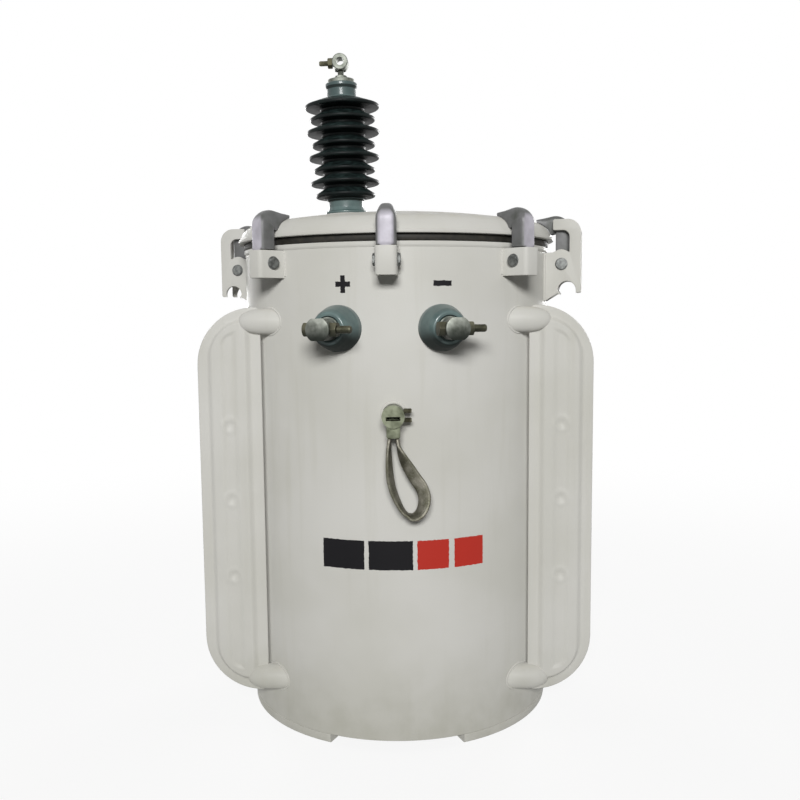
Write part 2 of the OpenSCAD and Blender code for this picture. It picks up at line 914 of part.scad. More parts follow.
module panel() {
  base = panel_k * panel_pts;
  last = (panel_k - 1) * panel_pts;
  translate([panel_in, 0, panel_z])
    rotate([90, 0, 0])
      polyhedron(
        points = [for (s = [1, -1]) for (st = panel_steps) for (p = panel_ring(st[0]))
          [p[0], p[1], s * st[1]]],
        faces = concat(
          [for (k = [0:panel_k - 2]) for (i = [0:panel_pts - 1])
            let (j = (i + 1) % panel_pts, a = k * panel_pts)
            [a + i, a + panel_pts + i, a + panel_pts + j]],
          [for (k = [0:panel_k - 2]) for (i = [0:panel_pts - 1])
            let (j = (i + 1) % panel_pts, a = k * panel_pts)
            [a + i, a + panel_pts + j, a + j]],
          [for (k = [0:panel_k - 2]) for (i = [0:panel_pts - 1])
            let (j = (i + 1) % panel_pts, a = base + k * panel_pts)
            [a + i, a + panel_pts + j, a + panel_pts + i]],
          [for (k = [0:panel_k - 2]) for (i = [0:panel_pts - 1])
            let (j = (i + 1) % panel_pts, a = base + k * panel_pts)
            [a + i, a + j, a + panel_pts + j]],
          [for (i = [0:panel_pts - 1]) let (j = (i + 1) % panel_pts)
            [i, j, base + j, base + i]],
          [[for (i = [panel_pts - 1:-1:0]) last + i]],
          [[for (i = [0:panel_pts - 1]) base + last + i]]));
}

module radiator() {
  color([0.75, 0.75, 0.72])
    translate([0, -panel_y, 0])
      panel();
}

// two pipe stubs, forked over the panel and fitted to the round wall
module pipes() {
  color([0.77, 0.77, 0.74])
    for (z = [panel_z + stub_in, panel_z + panel_h - stub_in])
      difference() {
        translate([0, -panel_y, z])
          rotate([0, 90, 0])
            cylinder(r = stub_r, h = panel_in + stub_lap);
        translate([panel_in, -panel_y - channel_t / 2 - fork_gap, z - 2 * stub_r])
          cube([2 * stub_lap, channel_t + 2 * fork_gap, 4 * stub_r]);
        translate([0, 0, z - 2 * stub_r])
          cylinder(r = tank_r, h = 4 * stub_r);
        translate([-1, -2 * panel_y, z - 2 * stub_r])
          cube([sqrt(pow(tank_r, 2) - pow(panel_y + stub_r, 2)), 4 * panel_y, 4 * stub_r]);
      }
}

module radiator_front_right() {
  radiator();
}

module radiator_front_left() {
  mirror([1, 0, 0])
    radiator();
}

module radiator_rear_right() {
  mirror([0, 1, 0])
    radiator();
}

module radiator_rear_left() {
  rotate([0, 0, 180])
    radiator();
}

module pipes_front_right() {
  pipes();
}

module pipes_front_left() {
  mirror([1, 0, 0])
    pipes();
}

module pipes_rear_right() {
  mirror([0, 1, 0])
    pipes();
}

module pipes_rear_left() {
  rotate([0, 0, 180])
    pipes();
}

// POLE HANGERS
module hanger(z) {
  color([0.74, 0.74, 0.71])
    difference() {
      union() {
        translate([-hanger_w / 2, hanger_y - hanger_t, z - hanger_h / 2])
          cube([hanger_w, hanger_t, hanger_h]);
        for (s = [-1, 1])
          translate([s * (hanger_w / 2 - hanger_t / 2) - hanger_t / 2, 0, z - hanger_h / 2])
            cube([hanger_t, hanger_y - hanger_t / 2, hanger_h]);
      }
      translate([0, 0, z - hanger_h])
        cylinder(r = tank_r, h = 2 * hanger_h);
      translate([0, hanger_y + hanger_t, z])
        rotate([90, 0, 0])
          cylinder(r = hanger_hole_r, h = 3 * hanger_t);
    }
}

module hanger_lower() {
  hanger(hanger_z);
}

module hanger_upper() {
  hanger(hanger_z + hanger_pitch);
}

tank_shell();
tank_bottom();
base_ring();
tank_rim();
lid_gasket();
lid();
clamp_front();
clamp_front_right();
clamp_right();
clamp_rear_right();
clamp_rear();
clamp_rear_left();
clamp_left();
clamp_front_left();
clamp_brackets();
clamp_bolts();
lug_left();
lug_right();
lug_bolts();
hv_collar();
hv_sheds();
hv_cap();
hv_stud();
hv_terminal();
hv_bolt();
lv_insulator_left();
lv_insulator_right();
lv_stud_left();
lv_stud_right();
lv_terminal_left();
lv_terminal_right();
lv_bolt_left();
lv_bolt_right();
earth_boss();
earth_clamp();
earth_bolts();
earth_braid();
radiator_front_left();
radiator_front_right();
radiator_rear_left();
radiator_rear_right();
pipes_front_left();
pipes_front_right();
pipes_rear_left();
pipes_rear_right();
hanger_upper();
hanger_lower();
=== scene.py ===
from math import asin, atan2, copysign, cos, exp, hypot, pi, radians, sin, sqrt, tan

import bmesh
import bpy
from mathutils import Matrix, Vector


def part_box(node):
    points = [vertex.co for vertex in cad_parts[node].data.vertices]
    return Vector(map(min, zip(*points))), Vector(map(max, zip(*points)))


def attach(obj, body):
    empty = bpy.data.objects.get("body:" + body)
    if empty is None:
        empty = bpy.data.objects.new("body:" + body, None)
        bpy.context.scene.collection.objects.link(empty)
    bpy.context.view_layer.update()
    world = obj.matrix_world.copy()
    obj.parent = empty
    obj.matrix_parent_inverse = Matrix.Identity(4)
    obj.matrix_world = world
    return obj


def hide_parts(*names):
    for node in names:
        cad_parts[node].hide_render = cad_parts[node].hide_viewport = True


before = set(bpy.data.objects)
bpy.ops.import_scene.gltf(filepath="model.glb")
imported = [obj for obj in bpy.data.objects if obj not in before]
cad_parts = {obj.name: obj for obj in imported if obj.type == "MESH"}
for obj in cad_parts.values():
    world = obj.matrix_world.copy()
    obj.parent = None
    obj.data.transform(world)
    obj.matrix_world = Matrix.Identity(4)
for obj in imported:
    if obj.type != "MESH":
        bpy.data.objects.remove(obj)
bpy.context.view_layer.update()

# VIEWPOINT
# The photograph's camera: 1.4 m from the tank axis and a little above mid height,
# looking slightly down at the object, which stands turned 1.3 degrees to it.
view_distance = 1.40
view_height = 0.605
object_turn = radians(1.3)
look_down = radians(5.93)
look_right = radians(0.16)
view_tilt = radians(-0.55)
focal_pixels = 892
frame_pixels = 800

lens = bpy.data.cameras.new("viewpoint")
lens.sensor_width = 36.0
lens.lens = lens.sensor_width * focal_pixels / frame_pixels
viewpoint = bpy.data.objects.new("viewpoint", lens)
viewpoint.matrix_world = (
    Matrix.Rotation(object_turn, 4, "Z")
    @ Matrix.Translation((0, -view_distance, view_height))
    @ Matrix.Rotation(-look_right, 4, "Z")
    @ Matrix.Rotation(radians(90) - look_down, 4, "X")
    @ Matrix.Rotation(view_tilt, 4, "Z")
)
bpy.context.collection.objects.link(viewpoint)
bpy.context.scene.camera = viewpoint
bpy.context.scene.view_settings.view_transform = "Standard"


# TANK WALL
# A drum of rolled sheet steel, welded and sprayed with light grey enamel. Polarity
# marks and one plain band in two colours are stencilled on its front.
class Shade:
    """A shader socket; arithmetic on it adds Math nodes and node() adds any other node."""

    def __init__(self, tree, socket):
        self.tree = tree
        self.socket = socket

    def node(self, kind, settings=None, inputs=None, output=0):
        """Adds a node: its settings first, then the values or links of its sockets."""
        made = self.tree.nodes.new(kind)
        for name, value in (settings or {}).items():
            setattr(made, name, value)
        for name, value in (inputs or {}).items():
            if isinstance(value, Shade):
                self.tree.links.new(value.socket, made.inputs[name])
            else:
                made.inputs[name].default_value = value
        return Shade(self.tree, made.outputs[output])

    def maths(self, operation, first, second=0.0):
        return self.node("ShaderNodeMath", {"operation": operation}, {0: first, 1: second})

    def __add__(self, other):
        return self.maths("ADD", self, other)

    __radd__ = __add__

    def __sub__(self, other):
        return self.maths("SUBTRACT", self, other)

    def __rsub__(self, other):
        return self.maths("SUBTRACT", other, self)

    def __mul__(self, other):
        return self.maths("MULTIPLY", self, other)

    __rmul__ = __mul__

    def __lt__(self, other):
        return self.maths("LESS_THAN", self, other)

    def __abs__(self):
        return self.maths("ABSOLUTE", self)

    def __neg__(self):
        return self.maths("MULTIPLY", self, -1.0)

    def axis(self, name):
        """The X, Y or Z of a vector."""
        return self.node("ShaderNodeSeparateXYZ", {}, {"Vector": self}, name)

    def noise(self, scale, detail=2.0, stretch=(1, 1, 1)):
        """Noise over a place in metres, stretched along the axes."""
        place = self.node("ShaderNodeVectorMath", {"operation": "MULTIPLY"}, {0: self, 1: stretch})
        return self.node("ShaderNodeTexNoise", {}, {"Vector": place, "Scale": scale, "Detail": detail})

    def rise(self, low, high):
        """0 below low and 1 above high, with a smooth step between."""
        return self.node("ShaderNodeMapRange", {"interpolation_type": "SMOOTHSTEP"},
                         {"Value": self, "From Min": low, "From Max": high})

    def blend(self, first, second):
        """One colour to another, by this value."""
        return self.node("ShaderNodeMix", {"data_type": "RGBA"}, {0: self, 6: first, 7: second}, 2)

    def bump(self, strength, distance):
        return self.node("ShaderNodeBump", {}, {"Strength": strength, "Distance": distance, "Height": self})

    def into(self, shader, name):
        self.tree.links.new(self.socket, shader.inputs[name])


def srgb(red, green, blue):
    """A colour as seen on a screen, 0 to 255, in the linear values that a shader takes."""
    def linear(level):
        level /= 255
        return level / 12.92 if level <= 0.04045 else ((level + 0.055) / 1.055) ** 2.4
    return linear(red), linear(green), linear(blue), 1.0


def surface(name, plain):
    """A material with its even values set, its shader, and the place of a point on the object."""
    material = bpy.data.materials.new(name)
    material.use_nodes = True
    tree = material.node_tree
    shader = tree.nodes["Principled BSDF"]
    for socket, value in plain.items():
        shader.inputs[socket].default_value = value
    place = Shade(tree, tree.nodes.new("ShaderNodeTexCoord").outputs["Object"])
    return material, shader, place


wall_radius = 0.230


def enamel(name, marks=()):
    """Sprayed grey enamel with faint clouding, runs, dust on top and orange peel.

    Marks are stencilled: a colour and boxes of (round the wall, up, half width, half height).
    """
    material, shader, place = surface(
        name, {"Specular IOR Level": 0.12, "Diffuse Roughness": 0.3, "Coat Roughness": 0.35})
    cloud = place.noise(6.0, 3.0)
    fine = place.noise(900.0, 1.0)
    colour = cloud.rise(0.3, 0.7).blend(srgb(193, 192, 185), srgb(201, 200, 195))
    runs = place.noise(1.0, 4.0, (55, 55, 3.5)).rise(0.52, 0.78)
    colour = (runs * 0.22).blend(colour, srgb(178, 176, 163))
    upward = place.node("ShaderNodeNewGeometry", output="Normal").axis("Z").rise(0.55, 1.0)
    dust = upward * place.noise(35.0, 5.0).rise(0.35, 0.75)
    colour = (dust * 0.35).blend(colour, srgb(196, 190, 172))
    # The enamel darkens in patches towards the bottom, over the lowest 17 cm.
    bottom_darkening = 1 - place.axis("Z").rise(0.0, 0.17)
    bottom_darkening = bottom_darkening * (0.5 + place.noise(26.0, 5.0).rise(0.3, 0.75) * 0.5)
    colour = (bottom_darkening * 0.5).blend(colour, srgb(152, 151, 136))
    # Sharp convex edges are lightened: a painted highlight along the edges.
    edge_highlight = place.node("ShaderNodeNewGeometry", output="Pointiness").rise(0.53, 0.6)
    colour = (edge_highlight * 0.25).blend(colour, srgb(214, 213, 207))
    if marks:
        across = place.maths("ARCTAN2", place.axis("X"), -place.axis("Y")) * wall_radius
        ragged = (place.noise(260.0, 3.0) - 0.5) * 0.0022
        for ink, boxes in marks:
            for middle, up, half_width, half_height in boxes:
                beside = abs(across - middle) + ragged < half_width
                level = abs(place.axis("Z") - up) + ragged < half_height
                colour = (beside * level).blend(colour, ink)
    colour.into(shader, "Base Color")
    (0.36 + cloud * 0.16 + dust * 0.25 + fine * 0.05).into(shader, "Roughness")
    (0.05 - runs * 0.02 - dust * 0.03).into(shader, "Coat Weight")
    peel = place.noise(420.0, 2.0) + cloud * 0.6
    peel.bump(0.10, 0.0008).into(shader, "Normal")
    return material


def full_turn(steps):
    """The angles of even steps once round."""
    return [2 * pi * step / steps for step in range(steps)]


def skin(rows, looped=False):
    """Faces between rows of point numbers, each row closed on itself; points at an axis repeat."""
    faces = []
    for low, high in zip(rows, rows[1:] + rows[:looped]):
        for i in range(len(low)):
            after = (i + 1) % len(low)
            face = list(dict.fromkeys([low[i], low[after], high[after], high[i]]))
            if len(face) > 2:
                faces.append(face)
    return faces


def turned(profile, steps=128, ring=False):
    """A turned part: (radius, height) points spun round Z; a ring's profile closes on itself."""
    points, rows = [], []
    for radius, height in profile:
        if radius < 1e-6:
            rows.append([len(points)] * steps)
            points.append(Vector((0, 0, height)))
        else:
            rows.append(list(range(len(points), len(points) + steps)))
            points += [Vector((radius * cos(angle), radius * sin(angle), height))
                       for angle in full_turn(steps)]
    return points, skin(rows, ring)


def eased(corners, closed=True, steps=5):
    """A line through (x, y, radius) corners, each turned into an arc of its radius."""
    line = []
    for i, (x, y, radius) in enumerate(corners):
        here = Vector((x, y))
        if radius == 0 or (not closed and i in (0, len(corners) - 1)):
            line.append((x, y))
            continue
        back = Vector(corners[i - 1][:2]) - here
        ahead = Vector(corners[(i + 1) % len(corners)][:2]) - here
        half = back.angle(ahead) / 2
        reach = min(radius / tan(half), back.length * 0.499, ahead.length * 0.499)
        radius = reach * tan(half)
        start = here + back.normalized() * reach
        centre = here + (back.normalized() + ahead.normalized()).normalized() * radius / sin(half)
        spoke = start - centre
        other = here + ahead.normalized() * reach - centre
        sweep = atan2(spoke.x * other.y - spoke.y * other.x, spoke.dot(other))
        for step in range(steps + 1):
            angle = sweep * step / steps
            line.append((centre.x + spoke.x * cos(angle) - spoke.y * sin(angle),
                         centre.y + spoke.x * sin(angle) + spoke.y * cos(angle)))
    return line


def placed(part, matrix):
    points, faces = part
    return [matrix @ Vector(point) for point in points], faces


def all_placed(parts, matrix):
    return [placed(part, matrix) for part in parts]


def shift(x, y, z):
    return Matrix.Translation((x, y, z))


def spin(angle, axis):
    return Matrix.Rotation(angle, 4, axis)


def piece(name, parts, material, slot, *nodes, sharp=35):
    """Joins parts into one piece with its finish, fixed to the tank in place of CAD nodes."""
    shape = bmesh.new()
    for points, faces in parts:
        corners = [shape.verts.new(point) for point in points]
        for face in faces:
            shape.faces.new([corners[i] for i in face])
    bmesh.ops.remove_doubles(shape, verts=shape.verts, dist=1e-6)
    bmesh.ops.recalc_face_normals(shape, faces=shape.faces)
    mesh = bpy.data.meshes.new(name)
    shape.to_mesh(mesh)
    shape.free()
    mesh.polygons.foreach_set("use_smooth", [True] * len(mesh.polygons))
    mesh.set_sharp_from_angle(angle=radians(sharp))
    mesh.materials.append(material)
    made = bpy.data.objects.new(name, mesh)
    bpy.context.collection.objects.link(made)
    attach(made, "root")
    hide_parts(*nodes)
    return made


wall_low, wall_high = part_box("tank_shell")
wall_top = wall_high.z
wall_sheet = 0.006
mark_black = srgb(16, 15, 18)
mark_red = srgb(176, 50, 40)
polarity_out = radians(16.6) * wall_radius
polarity_up = 0.636
band_up = 0.273
band_half = 0.020
stencil_marks = [
    (mark_black, [(-polarity_out, polarity_up, 0.0105, 0.0034), (-polarity_out, polarity_up, 0.0034, 0.0115),
                  (polarity_out, polarity_up, 0.0125, 0.0036),
                  (-0.072, band_up, 0.030, band_half), (-0.006, band_up, 0.030, band_half)]),
    (mark_red, [(0.052, band_up, 0.022, band_half), (0.104, band_up, 0.022, band_half)]),
]
wall_paint = enamel("wall_enamel", stencil_marks)
paint = enamel("grey_enamel")
wall_section = eased([
    (wall_radius, wall_low.z, 0.0015), (wall_radius, wall_top, 0.001),
    (wall_radius - wall_sheet, wall_top, 0.001), (wall_radius - wall_sheet, wall_low.z, 0.0015)])
piece("tank_wall", [turned(wall_section, 256, ring=True)], wall_paint, "paint", "tank_shell")
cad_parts["tank_bottom"].data.materials.clear()
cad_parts["tank_bottom"].data.materials.append(paint)


# FEET
# Two flat bars bent to the drum and welded under its wall, open at the front and back
# so that air passes under the bottom plate.
foot_width = 0.024
foot_height = wall_low.z
foot_gap = radians(24)


def lofted(rings, looped=False):
    """A part drawn through rings of points of equal count, its ends closed unless it loops."""
    count = len(rings[0])
    points = [Vector(point) for ring in rings for point in ring]
    rows = [list(range(row * count, (row + 1) * count)) for row in range(len(rings))]
    ends = [] if looped else [rows[0][::-1], rows[-1]]
    return points, skin(rows, looped) + ends


foot_section = eased([
    (wall_radius - foot_width, 0, 0.002), (wall_radius, 0, 0.002),
    (wall_radius, foot_height, 0.001), (wall_radius - foot_width, foot_height, 0.001)], steps=3)
foot_rings = []
for step in range(65):
    angle = foot_gap - pi / 2 + (pi - 2 * foot_gap) * step / 64
    foot_rings.append([(r * cos(angle), r * sin(angle), z) for r, z in foot_section])
foot = lofted(foot_rings)
piece("foot_bars", [foot, placed(foot, spin(pi, "Z"))], paint, "paint", "base_ring")


# RIM AND SEAL
# A steel lip welded round the top of the wall carries a black rubber ring, which the
# clamps squeeze until it bulges a little past the lip.
lip_low, lip_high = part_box("tank_rim")
lip_section = eased([
    (wall_radius - 0.001, lip_low.z - 0.0005, 0), (wall_radius + 0.0004, lip_low.z - 0.0005, 0.0015),
    (lip_high.x - 0.0014, lip_low.z + 0.0022, 0.0022), (lip_high.x - 0.0014, lip_high.z, 0.001),
    (wall_radius - 0.001, lip_high.z, 0.0005)], steps=6)
piece("tank_lip", [turned(lip_section, 256, ring=True)], paint, "paint", "tank_rim", sharp=60)
seal_low, seal_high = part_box("lid_gasket")
seal_width = 0.010
seal_section = eased([
    (seal_high.x - seal_width, seal_low.z, 0.0005), (seal_high.x, seal_low.z, 0.003),
    (seal_high.x + 0.0008, (seal_low.z + seal_high.z) / 2, 0.004), (seal_high.x, seal_high.z, 0.003),
    (seal_high.x - seal_width, seal_high.z, 0.0005)], steps=4)
rubber, rubber_shader, place = surface("seal_rubber", {"Specular IOR Level": 0.35})
mould = place.noise(150.0, 4.0)
mould.rise(0.3, 0.75).blend(srgb(20, 19, 15), srgb(42, 39, 32)).into(rubber_shader, "Base Color")
(0.5 + mould * 0.25).into(rubber_shader, "Roughness")
(mould + place.noise(700.0, 1.0) * 0.3).bump(0.25, 0.0006).into(rubber_shader, "Normal")
piece("seal_ring", [turned(seal_section, 256, ring=True)], rubber, "gasket", "lid_gasket")


# LID
# A shallow dome pressed from sheet with a rounded edge and a thin lip, and a flat boss
# welded on for the tall bushing, which leans a little to the left.
lid_low, lid_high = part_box("lid")
lid_sheet = 0.005
lid_lip = lid_high.x
lip_height = 0.005
nose = 0.026
nose_out = 0.212
dome = 1.200
dome_centre = lid_low.z - sqrt((dome - nose) ** 2 - nose_out ** 2)
bushing_out = -0.076
bushing_lean = radians(1.5)
boss_radius = 0.036
boss_top = lid_high.z - boss_radius * sin(bushing_lean)
at_bushing = shift(bushing_out, 0, boss_top) @ spin(-bushing_lean, "Y") @ shift(0, 0, -boss_top)
nose_turn = atan2(lid_low.z - dome_centre, nose_out)


def dome_line(inward, steps=24):
    """The dome from the axis out and down its rounded edge, some way inside the outer face."""
    reach = pi / 2 - nose_turn
    line = [((dome - inward) * sin(reach * i / steps),
             dome_centre + (dome - inward) * cos(reach * i / steps)) for i in range(steps)]
    low = asin(min(lip_height / (nose - inward), 1))
    turn = nose_turn - low
    return line + [(nose_out + (nose - inward) * cos(nose_turn - turn * i / 14),
                    lid_low.z + (nose - inward) * sin(nose_turn - turn * i / 14)) for i in range(15)]


lip_line = eased([
    (lid_lip - 0.002, lid_low.z + lip_height, 0), (lid_lip, lid_low.z + lip_height, 0.001),
    (lid_lip, lid_low.z, 0.001), (lid_lip - 0.020, lid_low.z, 0)], closed=False, steps=3)
lid_profile = dome_line(0) + lip_line + dome_line(lid_sheet)[::-1]
boss_profile = eased([
    (0, boss_top, 0), (boss_radius - 0.0006, boss_top, 0.0015), (boss_radius, boss_top - 0.0045, 0.003),
    (boss_radius + 0.006, boss_top - 0.0085, 0.002), (boss_radius + 0.006, boss_top - 0.011, 0),
    (0, boss_top - 0.011, 0)], closed=False)
boss = placed(turned(boss_profile, 96), at_bushing)
piece("lid_cover", [turned(lid_profile, 256), boss], paint, "paint", "lid")


# CLAMP BRACKETS
# Strips of plate bent to a U and welded upright to the wall under the lip, open at the
# top and at the foot, eight round the drum. Two of them stand between the lug plates.
bracket_half = 0.014
bracket_plate = 0.004
bracket_front = 0.271
bracket_low, bracket_high = (corner.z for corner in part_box("clamp_brackets"))
bracket_bend = 0.006
plate_root = 0.2285
seats = {"front": -1.5, "front_right": 43.5, "right": 78, "rear_right": 136.5,
         "rear": 180, "rear_left": 223.5, "left": 258, "front_left": 316.5}


def seat_turn(seat):
    """The turn about the tank axis from the front to a clamp's seat."""
    return spin(radians(seats[seat]), "Z")


def cut_plate(outlines, thickness, edge):
    """A plate in XY cut along outlines, the inner ones holes, with its edges broken."""
    cutting = bpy.data.curves.new("cutting", "CURVE")
    cutting.dimensions = "2D"
    cutting.fill_mode = "BOTH"
    cutting.extrude = thickness / 2 - edge
    cutting.bevel_depth = edge
    cutting.bevel_resolution = 2
    cutting.offset = -edge
    for outline in outlines:
        line = cutting.splines.new("POLY")
        line.points.add(len(outline) - 1)
        line.use_cyclic_u = True
        for point, (x, y) in zip(line.points, outline):
            point.co = (x, y, 0, 1)
    return evaluated(bpy.data.objects.new("cutting", cutting))


def evaluated(worked, tools=()):
    """The mesh of a scratch object with its modifiers, as a part; the object and its tools go."""
    bpy.context.collection.objects.link(worked)
    bpy.context.view_layer.update()
    mesh = bpy.data.meshes.new_from_object(worked.evaluated_get(bpy.context.evaluated_depsgraph_get()))
    part = [point.co.copy() for point in mesh.vertices], [list(face.vertices) for face in mesh.polygons]
    bpy.data.meshes.remove(mesh)
    for scratch in (worked, *tools):
        bpy.data.objects.remove(scratch)
    return part


def weld(path, size, closed=False):
    """A weld bead along a path: a thin tube with the ripples of the weld pool."""
    path = [Vector(point) for point in path]
    rings, travelled, side = [], 0.0, None
    for i, point in enumerate(path):
        travelled += (point - path[i - 1]).length if i else 0
        if closed:
            along = (path[(i + 1) % len(path)] - path[i - 1]).normalized()
        else:
            along = (path[min(i + 1, len(path) - 1)] - path[max(i - 1, 0)]).normalized()
        side = along.orthogonal() if side is None else side - along * side.dot(along)
        side.normalize()
        other = along.cross(side)
        radius = size * (1 + 0.06 * sin(2 * pi * travelled / 0.0044))
        radius *= 0.5 if i in (0, len(path) - 1) and not closed else 1
        rings.append([point + radius * (cos(angle) * side + sin(angle) * other) for angle in full_turn(8)])
    return lofted(rings, closed)


def straight(start, end, steps=36):
    return [Vector(start).lerp(Vector(end), i / steps) for i in range(steps + 1)]


def bent_strip(half, plate, root, back, bend, steps=5):
    """The outline of a strip bent to a U: out from the wall at root, across at back and in again."""
    inner, floor, inner_bend = half - plate, back - copysign(plate, back), bend - plate
    return eased([
        (-half, root, 0), (-half, back, bend), (half, back, bend), (half, root, 0), (inner, root, 0),
        (inner, floor, inner_bend), (-inner, floor, inner_bend), (-inner, root, 0)], steps=steps)


bracket_outline = bent_strip(bracket_half, bracket_plate, -plate_root, -bracket_front, bracket_bend)
bracket = placed(cut_plate([bracket_outline], bracket_high - bracket_low, 0.0007),
                 shift(0, 0, (bracket_low + bracket_high) / 2))
bracket_welds = [
    weld(straight((aside, -0.2295, bracket_low + 0.002), (aside, -0.2295, bracket_high - 0.002)), 0.0021)
    for aside in (-bracket_half - 0.0005, bracket_half + 0.0005)]
bracket_parts = [placed(part, seat_turn(seat)) for seat in seats for part in (bracket, *bracket_welds)]
piece("bent_brackets", bracket_parts, paint, "paint", "clamp_brackets")


# LID CLAMPS
# Hooks pressed from zinc plated strip into a channel with rounded edges: the jaw lies on
# the lid, the leg drops into its bracket and a cross bolt holds it there.
clamp_sheet = 0.0035
clamp_bend = 0.0065
clamp_half = 0.013
clamp_top_half = 0.009
tail_half = 0.009
clamp_taper = 0.014
clamp_round = 0.022
leg_depth = 0.021
side_depth = 0.026
jaw_end = 0.216
jaw_slope = radians(12)
zinc, zinc_shader, place = surface(
    "zinc_plate", {"Metallic": 0.2, "Specular IOR Level": 0.3, "Diffuse Roughness": 0.6})
grain = place.noise(60.0, 5.0)
rub = place.noise(1.0, 3.0, (420, 420, 36))
zinc_colour = grain.rise(0.3, 0.7).blend(srgb(164, 161, 168), srgb(184, 181, 189))
level = place.node("ShaderNodeVectorMath", {"operation": "MULTIPLY"}, {0: place, 1: (1, 1, 0)})
outward = place.node("ShaderNodeVectorMath", {"operation": "NORMALIZE"}, {0: level})
normal = place.node("ShaderNodeNewGeometry", output="Normal")
facing = place.node("ShaderNodeVectorMath", {"operation": "DOT_PRODUCT"}, {0: normal, 1: outward}, "Value")
# The channel's sides and bends, turned away from the outward face, are painted dark grey: painted shade
# standing in for dark reflections.
flank_shade = 1 - facing.rise(0.70, 0.985)
zinc_colour = (flank_shade * (0.55 + grain * 0.6)).blend(zinc_colour, srgb(84, 86, 82))
zinc_colour.into(zinc_shader, "Base Color")
(0.36 + grain * 0.2 + rub * 0.08).into(zinc_shader, "Roughness")
(rub + grain * 0.5).bump(0.12, 0.0004).into(zinc_shader, "Normal")


def clamp_section(width, depth):
    """The channel across a clamp: (across, in from the outer face) points."""
    bend = min(clamp_bend, depth * 0.7)
    inner = width - clamp_sheet
    return eased([
        (-width, depth, 0.0008), (-width, 0, bend), (width, 0, bend), (width, depth, 0.0008),
        (inner, depth, 0.0008), (inner, clamp_sheet, 0.0015), (-inner, clamp_sheet, 0.0015),
        (-inner, depth, 0.0008)], steps=4)


def side_reach(out, up, turn):
    """How far in from the outer face a clamp's sides go before they meet the lid."""
    reach = clamp_sheet + 0.0005
    while reach < side_depth:
        inner, height = out - reach * cos(turn), up - reach * sin(turn)
        in_nose = hypot(inner - nose_out, height - lid_low.z) < nose + 0.0006
        if in_nose or hypot(inner, height - dome_centre) < dome + 0.0006 and inner < nose_out:
            break
        reach += 0.0003
    return reach


def clamp_channel(leg_out, top, tail):
    """The channel drawn along its outer face, from the tail up the leg and in along the jaw."""
    corner_out, corner_up = leg_out - clamp_round, top - clamp_round
    leg_low = bracket_high + 0.0015
    stations = [(leg_out, tail + (bracket_high - tail) * i / 6, 0.0, tail_half) for i in range(7)]
    stations += [(leg_out, leg_low + (corner_up - leg_low) * i / 8, 0.0, clamp_half) for i in range(9)]
    last = pi / 2 + jaw_slope
    for i in range(1, 15):
        turn = last * i / 14
        stations.append((corner_out + clamp_round * cos(turn), corner_up + clamp_round * sin(turn),
                         turn, clamp_half))
    jaw_out, jaw_up = stations[-1][:2]
    for i in range(1, 13):
        out = jaw_out + (jaw_end - jaw_out) * i / 12
        stations.append((out, jaw_up - (jaw_out - out) * tan(jaw_slope), last, clamp_half))
    rings = []
    for out, up, turn, width in stations:
        taper = max(0.0, (up - top + clamp_taper) / clamp_taper)
        width -= (clamp_half - clamp_top_half) * taper if width == clamp_half else 0
        depth = side_reach(out, up, turn) if out <= jaw_out else leg_depth
        rings.append([(across, -out + inward * cos(turn), up - inward * sin(turn))
                      for across, inward in clamp_section(width, depth)])
    return lofted(rings)


clamp_tail, clamp_top = (corner.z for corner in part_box("clamp_front"))
clamp_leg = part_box("clamp_rear")[1].y
channel = clamp_channel(clamp_leg, clamp_top, clamp_tail)
for seat in seats:
    piece(f"clamp_{seat}_channel", [placed(channel, seat_turn(seat))], zinc, "clamp", f"clamp_{seat}")


# BRACKET BOLTS
# A cross bolt through each bracket and clamp leg, with a hexagon head and a washer on
# either side, in dull dark steel.
bolt_corner = 0.009
bolt_head = 0.004
bolt_up = 0.666
bolt_out = bracket_front - 0.022
steel, steel_shader, place = surface("dull_steel", {"Metallic": 0.6})
scale = place.noise(220.0, 4.0)
steel_colour = scale.rise(0.3, 0.7).blend(srgb(84, 86, 84), srgb(124, 126, 124))
steel_colour.into(steel_shader, "Base Color")
(0.38 + scale * 0.25).into(steel_shader, "Roughness")
scale.bump(0.2, 0.0004).into(steel_shader, "Normal")


def hex_head(corner, height):
    """A hexagon head standing on XY, with its corners turned off at the top."""
    chamfer = corner * 0.14
    rings = []
    for level, limit in ((0, 1.0), (height * 0.05, 1.0), (height - chamfer, 1.0),
                         (height - chamfer * 0.4, 0.955), (height, 0.875), (height, 0.6)):
        ring = []
        for step in range(36):
            angle = radians(10 * step)
            flat = corner * cos(pi / 6) / cos((angle % (pi / 3)) - pi / 6)
            reach = min(flat, corner * limit)
            ring.append((reach * cos(angle), reach * sin(angle), level))
        rings.append(ring)
    return lofted(rings)


def washer(radius, thickness):
    return turned(eased([(0, 0, 0), (radius, 0, 0.0003), (radius, thickness, 0.0006), (0, thickness, 0)],
                        closed=False, steps=3), 48)


def cross_bolt(out, aside):
    """Two heads with washers at a bracket's two sides, aside from its middle plane."""
    heads = []
    for side in (-1, 1):
        turn = shift(side * aside, -out, bolt_up) @ spin(side * pi / 2, "Y")
        heads.append(placed(washer(bolt_corner, 0.0014), turn))
        heads.append(placed(hex_head(bolt_corner * 0.93, bolt_head), turn))
    return heads


bolt_parts = [placed(part, seat_turn(seat)) for seat in seats if seat not in ("left", "right")
              for part in cross_bolt(bolt_out, bracket_half)]
piece("bracket_bolt_heads", bolt_parts, steel, "bolt", "clamp_bolts")


# LIFTING LUGS
# A pair of flame cut plates on either side of the drum, welded to the wall with a clamp
# between them: a hook over a window at the top and a half round notch at the foot.
lug_foot, lug_high = (corner.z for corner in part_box("lug_right"))
lug_low = 0.624
lug_reach = 0.282
lug_plate = 0.006
lug_half_gap = 0.017
lug_round = 0.026
lug_inner = 0.2415
notch_middle, notch_up, notch = 0.262, 0.628, 0.013
window_out, window_low, window_high = 0.2655, 0.683, 0.715


